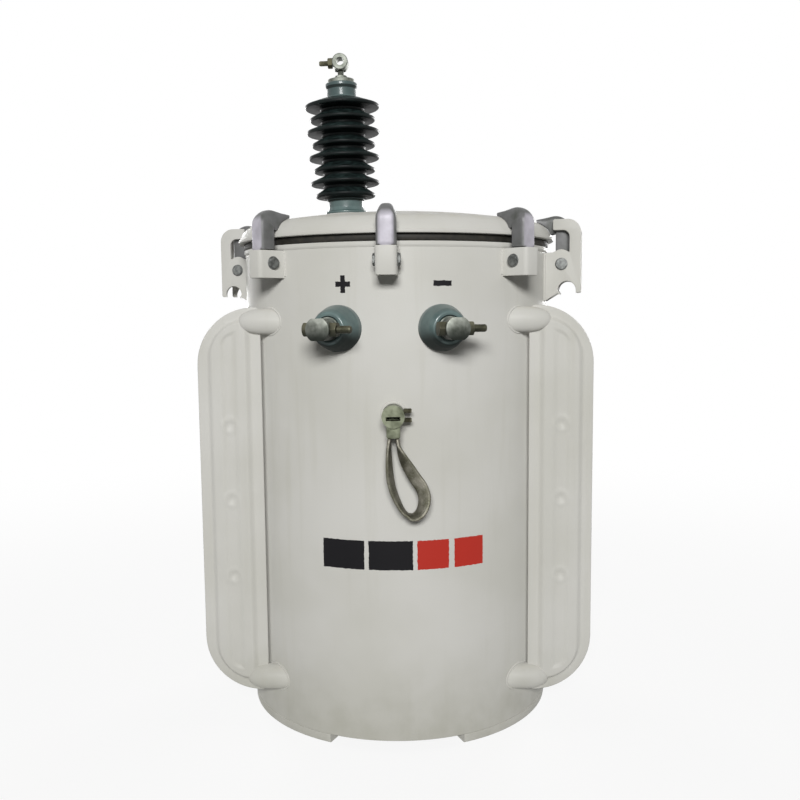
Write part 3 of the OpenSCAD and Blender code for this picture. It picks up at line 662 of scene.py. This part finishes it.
def wall_weld(aside, low, high, steps, size):
    """A bead straight up the front of the wall, some way aside from the middle."""
    wall = -sqrt(wall_radius ** 2 - aside ** 2)
    return weld(straight((aside, wall, low), (aside, wall, high), steps), size)


lug_outline = eased([
    (plate_root, lug_foot, 0), (0.2305, lug_foot, 0), (0.250, lug_low, 0.004), (0.251, lug_low, 0.0005)])[:-1]
lug_outline += [(notch_middle - notch * cos(pi * i / 20), notch_up + notch * sin(pi * i / 20))
                for i in range(21)]
lug_outline += eased([
    (0.275, lug_low, 0), (lug_reach, lug_low, 0.003), (lug_reach, lug_high, lug_round),
    (lug_inner, lug_high, 0.003), (lug_inner, window_high, 0.002), (window_out, window_high, 0.010),
    (window_out, window_low, 0.001), ((lug_inner + window_out) / 2, window_low + 0.006, 0.016),
    (lug_inner, window_low, 0.002), (plate_root, bracket_high - 0.0005, 0), (plate_root, lug_foot, 0)],
    closed=False, steps=10)[:-1]
cheek = cut_plate([lug_outline], lug_plate, 0.0009)
for seat in ("left", "right"):
    lug_parts = []
    for middle in (-lug_half_gap - lug_plate / 2, lug_half_gap + lug_plate / 2):
        upright = Matrix(((0, 0, 1, middle), (-1, 0, 0, 0), (0, 1, 0, 0), (0, 0, 0, 1)))
        lug_parts.append(placed(cheek, upright))
        for face in (-1, 1):
            aside = middle + face * (lug_plate / 2 + 0.0005)
            lug_parts.append(wall_weld(aside, lug_foot, bracket_high - 0.002, 60, 0.0024))
    piece(f"lug_{seat}_plates", all_placed(lug_parts, seat_turn(seat)), paint, "paint", f"lug_{seat}")
lug_bolt_out = 0.254
lug_bolt_parts = [placed(part, seat_turn(seat)) for seat in ("left", "right")
                  for part in cross_bolt(lug_bolt_out, lug_half_gap + lug_plate)]
piece("lug_bolt_heads", lug_bolt_parts, steel, "bolt", "lug_bolts")


# RADIATORS
# Flat panels, each of two pressed sheets seam welded at the rim, with an oil channel that
# runs round a middle groove. Three spot welds in the groove hold the sheets together.
panel_low, panel_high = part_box("radiator_front_right")
panel_in = panel_low.x
panel_width = panel_high.x - panel_low.x
panel_height = panel_high.z - panel_low.z
panel_back = 0.150
panel_corner = 0.090
panel_inner_corner = 0.009
seam_width = 0.013
seam_half = 0.0015
channel_half = 0.008
groove_half = 0.0056
groove_start = panel_width / 2 - 0.0045
spot_ups = (0.441, 0.335, 0.224)
spot_radius = 0.0045
spot_depth = 0.0022
arc_steps, side_steps = 18, 150


def panel_ring(inset):
    """A line round the panel, some way in from its edge, as (across, up) points."""
    inner = max(panel_inner_corner - inset, 0.0003)
    outer = max(min(panel_corner - inset, panel_width - 2 * inset - inner), 0.0003)
    left, right, low, high = inset, panel_width - inset, inset, panel_height - inset

    def corner(x, y, radius, start):
        angles = [radians(start + 90 * i / arc_steps) for i in range(arc_steps + 1)]
        return [(x + radius * cos(angle), y + radius * sin(angle)) for angle in angles]

    def side(x, start, end):
        return [(x, start + (end - start) * i / side_steps) for i in range(1, side_steps)]

    return (corner(right - outer, low + outer, outer, -90) + side(right, low + outer, high - outer)
            + corner(right - outer, high - outer, outer, 0) + corner(left + inner, high - inner, inner, 90)
            + side(left, high - inner, low + inner) + corner(left + inner, low + inner, inner, 180))


def panel_half(inset, across, up):
    """Half the panel's thickness at a point."""
    if inset < 0.0015:
        return seam_half * sqrt(max(0.04, 1 - (1 - inset / 0.0015) ** 2))
    part = min(max((inset - seam_width) / (groove_start - seam_width), 0), 1)
    shoulder = 0.5 - 0.5 * cos(pi * min(part / 0.34, 1))
    sink = 0.5 - 0.5 * cos(pi * max(part - 0.68, 0) / 0.32)
    height = seam_half + (channel_half - seam_half) * shoulder - (channel_half - groove_half) * sink
    for spot in spot_ups:
        distance = hypot(across - panel_width / 2, up + panel_low.z - spot)
        height -= spot_depth * exp(-(distance / spot_radius) ** 2)
        height += 0.0012 * exp(-((distance - 2.1 * spot_radius) / 0.003) ** 2)
    return height


panel_insets = [0, 0.0004, 0.0009, 0.0015, 0.005, 0.010]
panel_insets += [seam_width + (groove_start - seam_width) * i / 18 for i in range(19)]
panel_insets += [groove_start + 0.0012, groove_start + 0.0027, groove_start + 0.0041]
panel_rings = [panel_ring(inset) for inset in panel_insets]
panel_points, panel_faces = [], []
ring_count = len(panel_rings[0])
for face in (-1, 1):
    start = len(panel_points)
    for inset, ring in zip(panel_insets, panel_rings):
        panel_points += [Vector((x, face * panel_half(inset, x, z), z)) for x, z in ring]
    rows = [list(range(first, first + ring_count)) for first in range(start, len(panel_points), ring_count)]
    panel_faces += skin(rows)
    last = rows[-1][0]
    out_side = [last + i for i in range(arc_steps, arc_steps + side_steps + 1)]
    in_first = arc_steps + side_steps + 2 * (arc_steps + 1) - 1
    in_side = [last + i for i in range(in_first, in_first + side_steps + 1)][::-1]
    panel_faces += [[out_side[i], out_side[i + 1], in_side[i + 1], in_side[i]] for i in range(side_steps)]
    panel_faces.append([last + i for i in range(arc_steps + side_steps, in_first + 1)])
    panel_faces.append([last + i for i in range(in_first + side_steps, ring_count)]
                       + [last + i for i in range(arc_steps + 1)])
panel_faces += skin([list(range(ring_count)), rows[0]])
panel = panel_points, panel_faces
corners = {"front_left": (-1, -1), "front_right": (1, -1), "rear_left": (-1, 1), "rear_right": (1, 1)}
for corner, (aside, back) in corners.items():
    there = Matrix.Diagonal((aside, back, 1, 1)) @ shift(panel_in, panel_back, panel_low.z)
    piece(f"panel_{corner}", [placed(panel, there)], paint, "paint", f"radiator_{corner}", sharp=60)


# PIPE STUBS
# Two short pipes carry oil between the drum and each panel. Their rounded ends lap the
# panel's inner corners, and a bead of weld runs where they enter the wall.
stub_radius = 0.018
stub_ups = (panel_low.z + 0.020, panel_high.z - 0.020)
stub_end = panel_in + 0.030


def bored(body, tools, edge=0.0):
    """A part with tool parts cut out of it and its sharp edges broken."""
    def scratch(part):
        mesh = bpy.data.meshes.new("scratch")
        mesh.from_pydata(part[0], [], part[1])
        shape = bmesh.new()
        shape.from_mesh(mesh)
        bmesh.ops.recalc_face_normals(shape, faces=shape.faces)
        shape.to_mesh(mesh)
        shape.free()
        return bpy.data.objects.new("scratch", mesh)

    worked = scratch(body)
    cutters = [scratch(tool) for tool in tools]
    for cutter in cutters:
        bpy.context.collection.objects.link(cutter)
        cut = worked.modifiers.new("cut", "BOOLEAN")
        cut.operation = "DIFFERENCE"
        cut.solver = "EXACT"
        cut.object = cutter
    if edge:
        broken = worked.modifiers.new("edge", "BEVEL")
        broken.width = edge
        broken.segments = 2
        broken.limit_method = "ANGLE"
        broken.angle_limit = radians(40)
    return evaluated(worked, cutters)


def rod(radius, start, end, steps):
    """A plain round bar along Z."""
    return turned([(0, start), (radius, start), (radius, end), (0, end)], steps)


drum = rod(wall_radius - 0.0005, -0.1, 0.9, 256)
along_x = spin(pi / 2, "Y")
stub_profile = [(0, 0.120), (stub_radius, 0.120), (stub_radius, panel_in - 0.004)]
for step in range(1, 13):
    turn = pi / 2 * step / 12
    stub_profile.append((stub_radius * cos(turn) ** 0.8,
                         panel_in - 0.004 + (stub_end - panel_in + 0.004) * sin(turn)))
stub_profile[-1] = (0, stub_end)
stub_parts = []
for up in stub_ups:
    stub = placed(turned(stub_profile, 48), shift(0, panel_back, up) @ along_x)
    stub_parts.append(bored(stub, [drum]))
    joint = []
    for angle in full_turn(96):
        y = panel_back + (stub_radius + 0.0008) * cos(angle)
        joint.append((sqrt(wall_radius ** 2 - y ** 2), y, up + (stub_radius + 0.0008) * sin(angle)))
    stub_parts.append(weld(joint, 0.0015, closed=True))
for corner, (aside, back) in corners.items():
    stubs = all_placed(stub_parts, Matrix.Diagonal((aside, back, 1, 1)))
    piece(f"stubs_{corner}", stubs, paint, "paint", f"pipes_{corner}", sharp=50)


# HIGH VOLTAGE BUSHING
# A moulded rubber insulator with large and small sheds in turn, held between a grey green
# collar on the lid and a cap, with a plated stud and a round clamp for the line on top.
collar_low = boss_top
shed_low = collar_low + 0.023
cap_low = shed_low + 0.150
stud_low = cap_low + 0.023
stud_high = stud_low + 0.020
core = 0.033
shed_pitch = 0.038
shed_edge = 0.0030
shed_slope = 0.0075
resin, resin_shader, place = surface("grey_green_resin", {"Specular IOR Level": 0.3, "Coat Roughness": 0.12})
speck = place.noise(1100.0, 2.0)
haze = place.noise(45.0, 4.0)
resin_colour = haze.rise(0.3, 0.7).blend(srgb(78, 97, 96), srgb(97, 116, 114))
resin_colour = (speck.rise(0.62, 0.75) * 0.35).blend(resin_colour, srgb(124, 138, 136))
resin_colour = (place.axis("Z").rise(0.80, 0.90) * 0.6).blend(resin_colour, srgb(58, 74, 74))
# Faces that look downward are painted nearly black: painted shade on the undersides, where the gloss is
# dulled too.
under = 1 - place.node("ShaderNodeNewGeometry", output="Normal").axis("Z").rise(-0.6, 0.2)
resin_colour = (under * 0.95).blend(resin_colour, srgb(14, 21, 18))
resin_colour.into(resin_shader, "Base Color")
(0.26 + haze * 0.22 + under * 0.4).into(resin_shader, "Roughness")
((0.5 - haze * 0.4) * (1 - under)).into(resin_shader, "Coat Weight")
(haze + speck * 0.2).bump(0.06, 0.0006).into(resin_shader, "Normal")
collar_profile = eased([
    (0, collar_low, 0), (0.032, collar_low, 0.0008), (0.032, collar_low + 0.004, 0.0014),
    (0.0285, collar_low + 0.0045, 0.002), (0.027, collar_low + 0.010, 0.006),
    (0.027, shed_low - 0.004, 0.003), (0.0285, shed_low - 0.0015, 0.001), (0.0285, shed_low, 0.0006),
    (0, shed_low, 0)], closed=False)
piece("bushing_collar", [placed(turned(collar_profile, 96), at_bushing)], resin, "insulator", "hv_collar")

shed_rubber, shed_shader, place = surface("shed_rubber", {"Specular IOR Level": 0.13})
bloom = place.noise(55.0, 4.0)
shed_colour = bloom.rise(0.35, 0.75).blend(srgb(10, 15, 15), srgb(20, 28, 27))
# Upward faces are lightened to grey green in patches: dust, and with it a painted sheen where the shed tops
# catch the light.
dust = place.node("ShaderNodeNewGeometry", output="Normal").axis("Z").rise(0.3, 0.95)
dust = dust * place.noise(160.0, 4.0).rise(0.35, 0.7)
shed_colour = (dust * 0.35).blend(shed_colour, srgb(62, 82, 80))
shed_colour.into(shed_shader, "Base Color")
(0.34 + bloom * 0.2 + dust * 0.15).into(shed_shader, "Roughness")
(bloom + place.noise(900.0, 1.0) * 0.15).bump(0.08, 0.0006).into(shed_shader, "Normal")
shed_corners = [(0, shed_low, 0), (core, shed_low, 0.0004)]
for number in range(8):
    reach = (0.057 if number % 2 else 0.050) - 0.004 * (1 - number // 2 / 3)
    middle = shed_low + 0.005 + number * shed_pitch / 2
    under = max(middle - shed_edge - 0.0012, shed_low + 0.0003)
    shed_corners += [(core, under, 0.0015), (reach - 0.010, middle - shed_edge - 0.0002, 0.01),
                     (reach - 0.0008, middle - shed_edge, shed_edge * 0.95),
                     (reach, middle + shed_edge * 0.6, shed_edge * 0.9),
                     (core, middle + shed_edge + shed_slope, 0.0016)]
shed_corners += [(core, cap_low - 0.003, 0.002), (0.028, cap_low, 0.002), (0, cap_low, 0)]
piece("bushing_sheds", [placed(turned(eased(shed_corners, closed=False, steps=6), 144), at_bushing)],
      shed_rubber, "sheds", "hv_sheds", sharp=60)

cap_profile = eased([
    (0, cap_low, 0), (0.0235, cap_low, 0.001), (0.022, cap_low + 0.003, 0.002),
    (0.022, stud_low - 0.009, 0.003), (0.024, stud_low - 0.005, 0.002), (0.024, stud_low, 0.0016),
    (0, stud_low, 0)], closed=False)
piece("bushing_cap", [placed(turned(cap_profile, 96), at_bushing)], resin, "insulator", "hv_cap")


def plated(name, dark, light, shine):
    """Plated metal: tarnish in soft patches, rubbing marks, and painted shade on the lower part of the front
    terminals.
    """
    material, shader, place = surface(name, {"Metallic": 0.9})
    patch = place.noise(70.0, 3.0)
    marks = place.noise(1.0, 2.0, (1500, 1500, 90))
    colour = patch.rise(0.25, 0.8).blend(dark, light)
    colour = (marks.rise(0.55, 0.8) * 0.3).blend(colour, light)
    # The low voltage terminals are painted nearly black at their bottoms, fading out towards their tops:
    # painted shade.
    terminal_shade = place.axis("Z").rise(0.51, 0.53) * (1 - place.axis("Z").rise(0.564, 0.592))
    (terminal_shade * 0.95).blend(colour, srgb(26, 30, 26)).into(shader, "Base Color")
    weather = place.axis("Z").rise(0.80, 0.85)
    (shine + patch * 0.18 + marks * 0.06 + weather * 0.2).into(shader, "Roughness")
    (marks + patch).bump(0.06, 0.0003).into(shader, "Normal")
    return material


tinned = plated("tinned_brass", srgb(84, 88, 80), srgb(158, 161, 153), 0.30)
bronze = plated("dull_bronze", srgb(72, 71, 56), srgb(112, 110, 92), 0.34)


def threaded(radius, start, end, pitch=0.0015):
    """The profile of a screw thread up a stud, from one height to another, with a chamfered tip."""
    line = [(0, start), (radius, start)]
    turns = int((end - start - 0.0015) / pitch)
    for turn in range(turns):
        line += [(radius - 0.0005, start + (turn + 0.5) * pitch), (radius, start + (turn + 1) * pitch)]
    return line + [(radius - 0.001, end), (0, end)]


eye_radius, eye_hole, eye_half = 0.012, 0.006, 0.012
eye_up = stud_high + eye_radius - 0.001
stud_parts = [placed(washer(0.020, 0.0058), shift(0, 0, stud_low)),
              placed(hex_head(0.0095, 0.006), shift(0, 0, stud_low + 0.0055)),
              turned(threaded(0.0048, stud_low, stud_high), 32)]
piece("bushing_stud", all_placed(stud_parts, at_bushing), tinned, "terminal", "hv_stud")
along_y = spin(pi / 2, "X")
eye_barrel = eased([(0, -eye_half, 0), (eye_radius, -eye_half, 0.0015), (eye_radius, eye_half, 0.0015),
                    (0, eye_half, 0)], closed=False)
eye = bored(turned(eye_barrel, 64), [rod(eye_hole, -2 * eye_half, 2 * eye_half, 48)])
neck = turned(eased([(0.0085, stud_high - 0.001, 0), (0.0085, eye_up - 0.009, 0.002),
                     (0.010, eye_up - 0.0055, 0)], closed=False), 48)
line_clamp = [placed(eye, shift(0, 0, eye_up) @ along_y), neck]
piece("line_clamp", all_placed(line_clamp, at_bushing), tinned, "terminal", "hv_terminal")
outward = at_bushing @ shift(-eye_radius, 0, eye_up) @ spin(-pi / 2, "Y")
line_bolt = [hex_head(0.008, 0.007), turned(threaded(0.004, 0.0005, 0.020), 24)]
piece("line_clamp_bolt", all_placed(line_bolt, outward), bronze, "bolt", "hv_bolt")


# LOW VOLTAGE BUSHINGS
# Two stubby resin cones through the front wall, each with a plated stud, a round clamp
# with a hole for the conductor, and a cross bolt with its head at the left.
lv_turns = {"left": radians(-18), "right": radians(16)}
lv_up = 0.578
lv_base, lv_end = 0.031, 0.022
lv_tip = 0.268
terminal_in, terminal_out = 0.276, 0.302
terminal_radius, terminal_flat, terminal_hole = 0.016, 0.014, 0.007
to_front = shift(0, 0, lv_up) @ along_y
cone_profile = eased([
    (0, 0.200, 0), (lv_base, 0.200, 0), (lv_base, wall_radius + 0.008, 0.010),
    (lv_end + 0.0035, lv_tip - 0.008, 0.014), (lv_end, lv_tip, 0.004), (0.017, lv_tip, 0.001),
    (0.016, lv_tip - 0.001, 0), (0, lv_tip - 0.001, 0)], closed=False, steps=8)
cone = bored(placed(turned(cone_profile, 96), to_front), [drum])
lv_stud = [turned(threaded(0.010, lv_tip - 0.001, terminal_in + 0.0005), 40),
           placed(washer(0.0155, 0.0022), shift(0, 0, lv_tip - 0.001)),
           placed(hex_head(0.0145, 0.0055), shift(0, 0, lv_tip + 0.0012))]
barrel_section = []
for step in range(64):
    angle = 2 * pi * (step + 0.5) / 64
    barrel_section.append((terminal_radius * cos(angle),
                           min(max(terminal_radius * sin(angle), -terminal_flat), terminal_flat)))
barrel = lofted([[(x, y, z) for x, y in barrel_section] for z in (terminal_in, terminal_out)])
terminal_middle = (terminal_in + terminal_out) / 2
bore_place = shift(0, 0, terminal_middle) @ along_y
clamp_body = bored(barrel, [placed(rod(terminal_hole, -0.05, 0.05, 48), bore_place)], 0.0016)
bolt_seat = terminal_radius - 0.0050
nut_place = shift(bolt_seat, 0, terminal_middle) @ along_x
head_place = shift(-bolt_seat, 0, terminal_middle) @ spin(-pi / 2, "Y")
bolt_reach = 0.0298
side_bolt = [placed(hex_head(0.010, 0.0120), nut_place), placed(hex_head(0.010, 0.0120), head_place),
             placed(turned(threaded(0.005, 0.001, bolt_reach), 28), nut_place)]
for hand, turn in lv_turns.items():
    there = spin(turn, "Z")
    front = there @ to_front
    piece(f"lv_cone_{hand}", [placed(cone, there)], resin, "insulator", f"lv_insulator_{hand}", sharp=50)
    piece(f"lv_stud_{hand}_nut", all_placed(lv_stud, front), tinned, "terminal", f"lv_stud_{hand}")
    piece(f"lv_clamp_{hand}", [placed(clamp_body, front)], tinned, "terminal", f"lv_terminal_{hand}")
    piece(f"lv_side_bolt_{hand}", all_placed(side_bolt, front), bronze, "bolt", f"lv_bolt_{hand}")


# EARTH TERMINAL
# A steel boss welded to the wall with a slotted clamp and two set screws, from which a
# flat braid of tinned copper hangs in one loop.
earth_up = 0.465
earth_radius = 0.015
boss_end, clamp_end = 0.242, 0.264
to_earth = shift(0, 0, earth_up) @ along_y
earth_boss = bored(placed(rod(earth_radius, 0.200, boss_end, 64), to_earth), [drum])
joint_radius = earth_radius + 0.0008
boss_joint = []
for angle in full_turn(72):
    x = joint_radius * cos(angle)
    boss_joint.append((x, -sqrt(wall_radius ** 2 - x ** 2), earth_up + joint_radius * sin(angle)))
piece("earth_stud_boss", [earth_boss, weld(boss_joint, 0.0020, closed=True)], paint, "paint", "earth_boss")
earth_barrel = rod(earth_radius, boss_end, clamp_end, 64)
slot_half, slot_deep, slot_near, slot_far = 0.0095, 0.005, 0.251, 0.270
throat_half, throat_foot, throat_near, throat_far = 0.009, earth_radius + 0.014, 0.247, 0.259
throat_section = eased([
    (-throat_half, 0, 0), (throat_half, 0, 0), (throat_half, -throat_foot, 0.003),
    (-throat_half, -throat_foot, 0.003)])
throat = lofted([[(x, y, z) for x, y in throat_section] for z in (throat_near, throat_far)])
slot_section = [(-slot_half, 0), (slot_half, 0), (slot_half, -slot_deep), (-slot_half, -slot_deep)]
slot_tool = lofted([[(x, y, z) for x, y in slot_section] for z in (slot_near, slot_far)])
brass = plated("worn_brass", srgb(70, 74, 58), srgb(122, 126, 108), 0.28)
earth_grip = [placed(bored(part, [slot_tool], 0.0008), to_earth) for part in (earth_barrel, throat)]
piece("earth_slot_clamp", earth_grip, brass, "terminal", "earth_clamp")
screw_parts = []
for side in (-1, 1):
    screw = shift(earth_radius - 0.0015, -0.247, earth_up + side * 0.006) @ along_x
    screw_parts.append(placed(turned(threaded(0.0035, 0.0, 0.0104, 0.0012), 24), screw))
piece("earth_set_screws", screw_parts, bronze, "bolt", "earth_bolts")

braid_start, braid_out = earth_up - throat_foot - 0.0005, -0.253
braid_drop, braid_spread = 0.105, 0.046 / 45
braid_width, braid_half = 0.0180, 0.0026
braid_route = [
    (-5, 0, 0), (-6, 0, -0.12), (-6, 0, -0.3), (-5, 0, -0.47), (-2, 1, -0.63), (4, 2, -0.79),
    (12, 3, -0.93), (22, 4, -1), (31, 4, -0.97), (37, 4, -0.88), (39, 4, -0.75), (35, 3, -0.62),
    (27, 2, -0.5), (19, 1, -0.37), (12, 0, -0.24), (7, 0, -0.12), (5, 0, 0)]
route = [Vector((x * braid_spread, braid_out + y * 0.001, braid_start + z * braid_drop))
         for x, y, z in braid_route]
braid_line = []
for i in range(len(route) - 1):
    before, here, after = route[max(i - 1, 0)], route[i], route[i + 1]
    beyond = route[min(i + 2, len(route) - 1)]
    for step in range(28):
        t = step / 28
        braid_line.append(0.5 * (
            2 * here + t * (after - before) + t * t * (2 * before - 5 * here + 4 * after - beyond)
            + t ** 3 * (3 * here - before - 3 * after + beyond)))
braid_line.append(route[-1])
braid_length = sum((b - a).length for a, b in zip(braid_line, braid_line[1:]))
braid_rings, travelled = [], 0.0
for i, point in enumerate(braid_line):
    travelled += (point - braid_line[i - 1]).length if i else 0
    along = (braid_line[min(i + 1, len(braid_line) - 1)] - braid_line[max(i - 1, 0)]).normalized()
    share = travelled / braid_length
    deep = Vector((0, -1, 0)) - along * -along.y
    flat = along.cross(deep).normalized()
    twist = radians(74) * sin(pi * min(max((share - 0.46) / 0.5, 0), 1)) ** 0.8
    twist += radians(24) * sin(pi * min(share / 0.46, 1))
    deep = deep.normalized() * cos(twist) + flat * sin(twist)
    flat = along.cross(deep).normalized()
    ring = []
    for angle in full_turn(44):
        across = copysign(abs(cos(angle)) ** 0.7, cos(angle)) * (braid_width / 2 - 0.0004)
        through = copysign(abs(sin(angle)) ** 0.6, sin(angle)) * braid_half
        strand = sin((travelled + across) * 2 * pi / 0.0034) * sin((travelled - across) * 2 * pi / 0.0034)
        ring.append(point + deep * across * (1 + 0.03 * strand) + flat * through * (1 + 0.16 * strand))
    braid_rings.append(ring)
copper, copper_shader, place = surface("tinned_braid", {"Metallic": 0.85})
wire = place.noise(900.0, 2.0)
age = place.noise(70.0, 4.0)
wire_colour = age.rise(0.3, 0.7).blend(srgb(80, 79, 64), srgb(124, 121, 110))
# Fine noise lightens single strands: painted glints on the wires.
wire_colour = (wire.rise(0.5, 0.7) * 0.4).blend(wire_colour, srgb(158, 156, 146))
wire_colour.into(copper_shader, "Base Color")
(0.36 + age * 0.25).into(copper_shader, "Roughness")
wire.bump(0.5, 0.0005).into(copper_shader, "Normal")
braid = piece("earth_strap", [lofted(braid_rings)], copper, "braid", "earth_braid", sharp=80)


# POLE HANGERS
# Two bent plates welded to the back of the wall, each with one hole for the bolt that
# holds the transformer to its pole.
hanger_back = 0.295
hanger_half = 0.060
hanger_plate = 0.008
hanger_root = 0.2215
hanger_bend = 0.012
hanger_hole = 0.009
hanger_outline = bent_strip(hanger_half, hanger_plate, hanger_root, hanger_back, hanger_bend, steps=8)
for level in ("upper", "lower"):
    low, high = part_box(f"hanger_{level}")
    middle = (low.z + high.z) / 2
    strip = placed(cut_plate([hanger_outline], high.z - low.z, 0.0012), shift(0, 0, middle))
    hole = placed(rod(hanger_hole, -0.02, 0.02, 48), shift(0, hanger_back, middle) @ along_y)
    hanger_parts = [bored(strip, [hole])]
    for side in (-1, 1):
        for aside in (side * (hanger_half - hanger_plate - 0.0006), side * (hanger_half + 0.0006)):
            wall = sqrt(wall_radius ** 2 - aside ** 2)
            hanger_parts.append(weld(straight((aside, wall, low.z), (aside, wall, high.z), 50), 0.0036))
    piece(f"pole_hanger_{level}", hanger_parts, paint, "paint", f"hanger_{level}")


# FLOOR AND LIGHT
# A plain pale floor that keeps the object's soft shadow, an even white surround, one
# large soft lamp above the front and two low ones that light the back.
floor_half = 12.0
floor_tone = srgb(130, 130, 128)
floor_shown = srgb(240, 240, 239)
floor_mesh = bpy.data.meshes.new("floor")
floor_corners = [(x * floor_half, y * floor_half, 0) for x, y in ((-1, -1), (1, -1), (1, 1), (-1, 1))]
floor_mesh.from_pydata(floor_corners, [], [[0, 1, 2, 3]])
floor_material, floor_shader, place = surface("floor", {"Roughness": 0.9})
paths = place.node("ShaderNodeLightPath")


def seen_rays(paths):
    """1 for rays that show the surround: straight from the camera, off gloss or through glass."""
    shown = [Shade(paths.tree, paths.socket.node.outputs[f"Is {kind} Ray"])
             for kind in ("Camera", "Glossy", "Transmission")]
    return paths.maths("MINIMUM", shown[0] + shown[1] + shown[2], 1.0)


far = place.node("ShaderNodeVectorMath", {"operation": "LENGTH"}, {0: place}, "Value").rise(0.5, 2.4)
white = place.node("ShaderNodeEmission", {}, {"Color": (1, 1, 1, 1), "Strength": 1.0})
plain = Shade(floor_material.node_tree, floor_shader.outputs[0])
seen_rays(paths).blend(floor_tone, floor_shown).into(floor_shader, "Base Color")
pale = place.node("ShaderNodeMixShader", {}, {0: seen_rays(paths) * (0.86 + far * 0.14), 1: plain, 2: white})
pale.into(floor_material.node_tree.nodes["Material Output"], "Surface")
floor_mesh.materials.append(floor_material)
floor = bpy.data.objects.new("floor", floor_mesh)
bpy.context.collection.objects.link(floor)

surround = bpy.data.worlds.new("surround")
surround.use_nodes = True
bpy.context.scene.world = surround
sky = surround.node_tree
paths = Shade(sky, sky.nodes.new("ShaderNodeLightPath").outputs[0])
ambient = 0.05
sky.nodes["Background"].inputs["Color"].default_value = (1, 1, 1, 1)
(ambient + seen_rays(paths) * (1 - ambient)).into(sky.nodes["Background"], "Strength")


def lamp(name, place, width, height, power):
    """A soft lamp that faces the middle of the tank."""
    light = bpy.data.lights.new(name, "AREA")
    light.shape = "RECTANGLE"
    light.size = width
    light.size_y = height
    light.energy = power
    shone = bpy.data.objects.new(name, light)
    shone.location = place
    tank_middle = Vector((0, 0, 0.45))
    shone.rotation_euler = (tank_middle - shone.location).to_track_quat("-Z", "Y").to_euler()
    bpy.context.collection.objects.link(shone)


lamp("lamp_front", (0, -4.8, 2.3), 1.8, 0.9, 244.0)
lamp("lamp_back_left", (-2.0, 4.25, 1.2), 1.4, 1.2, 95.0)
lamp("lamp_back_right", (2.0, 4.25, 1.2), 1.4, 1.2, 95.0)
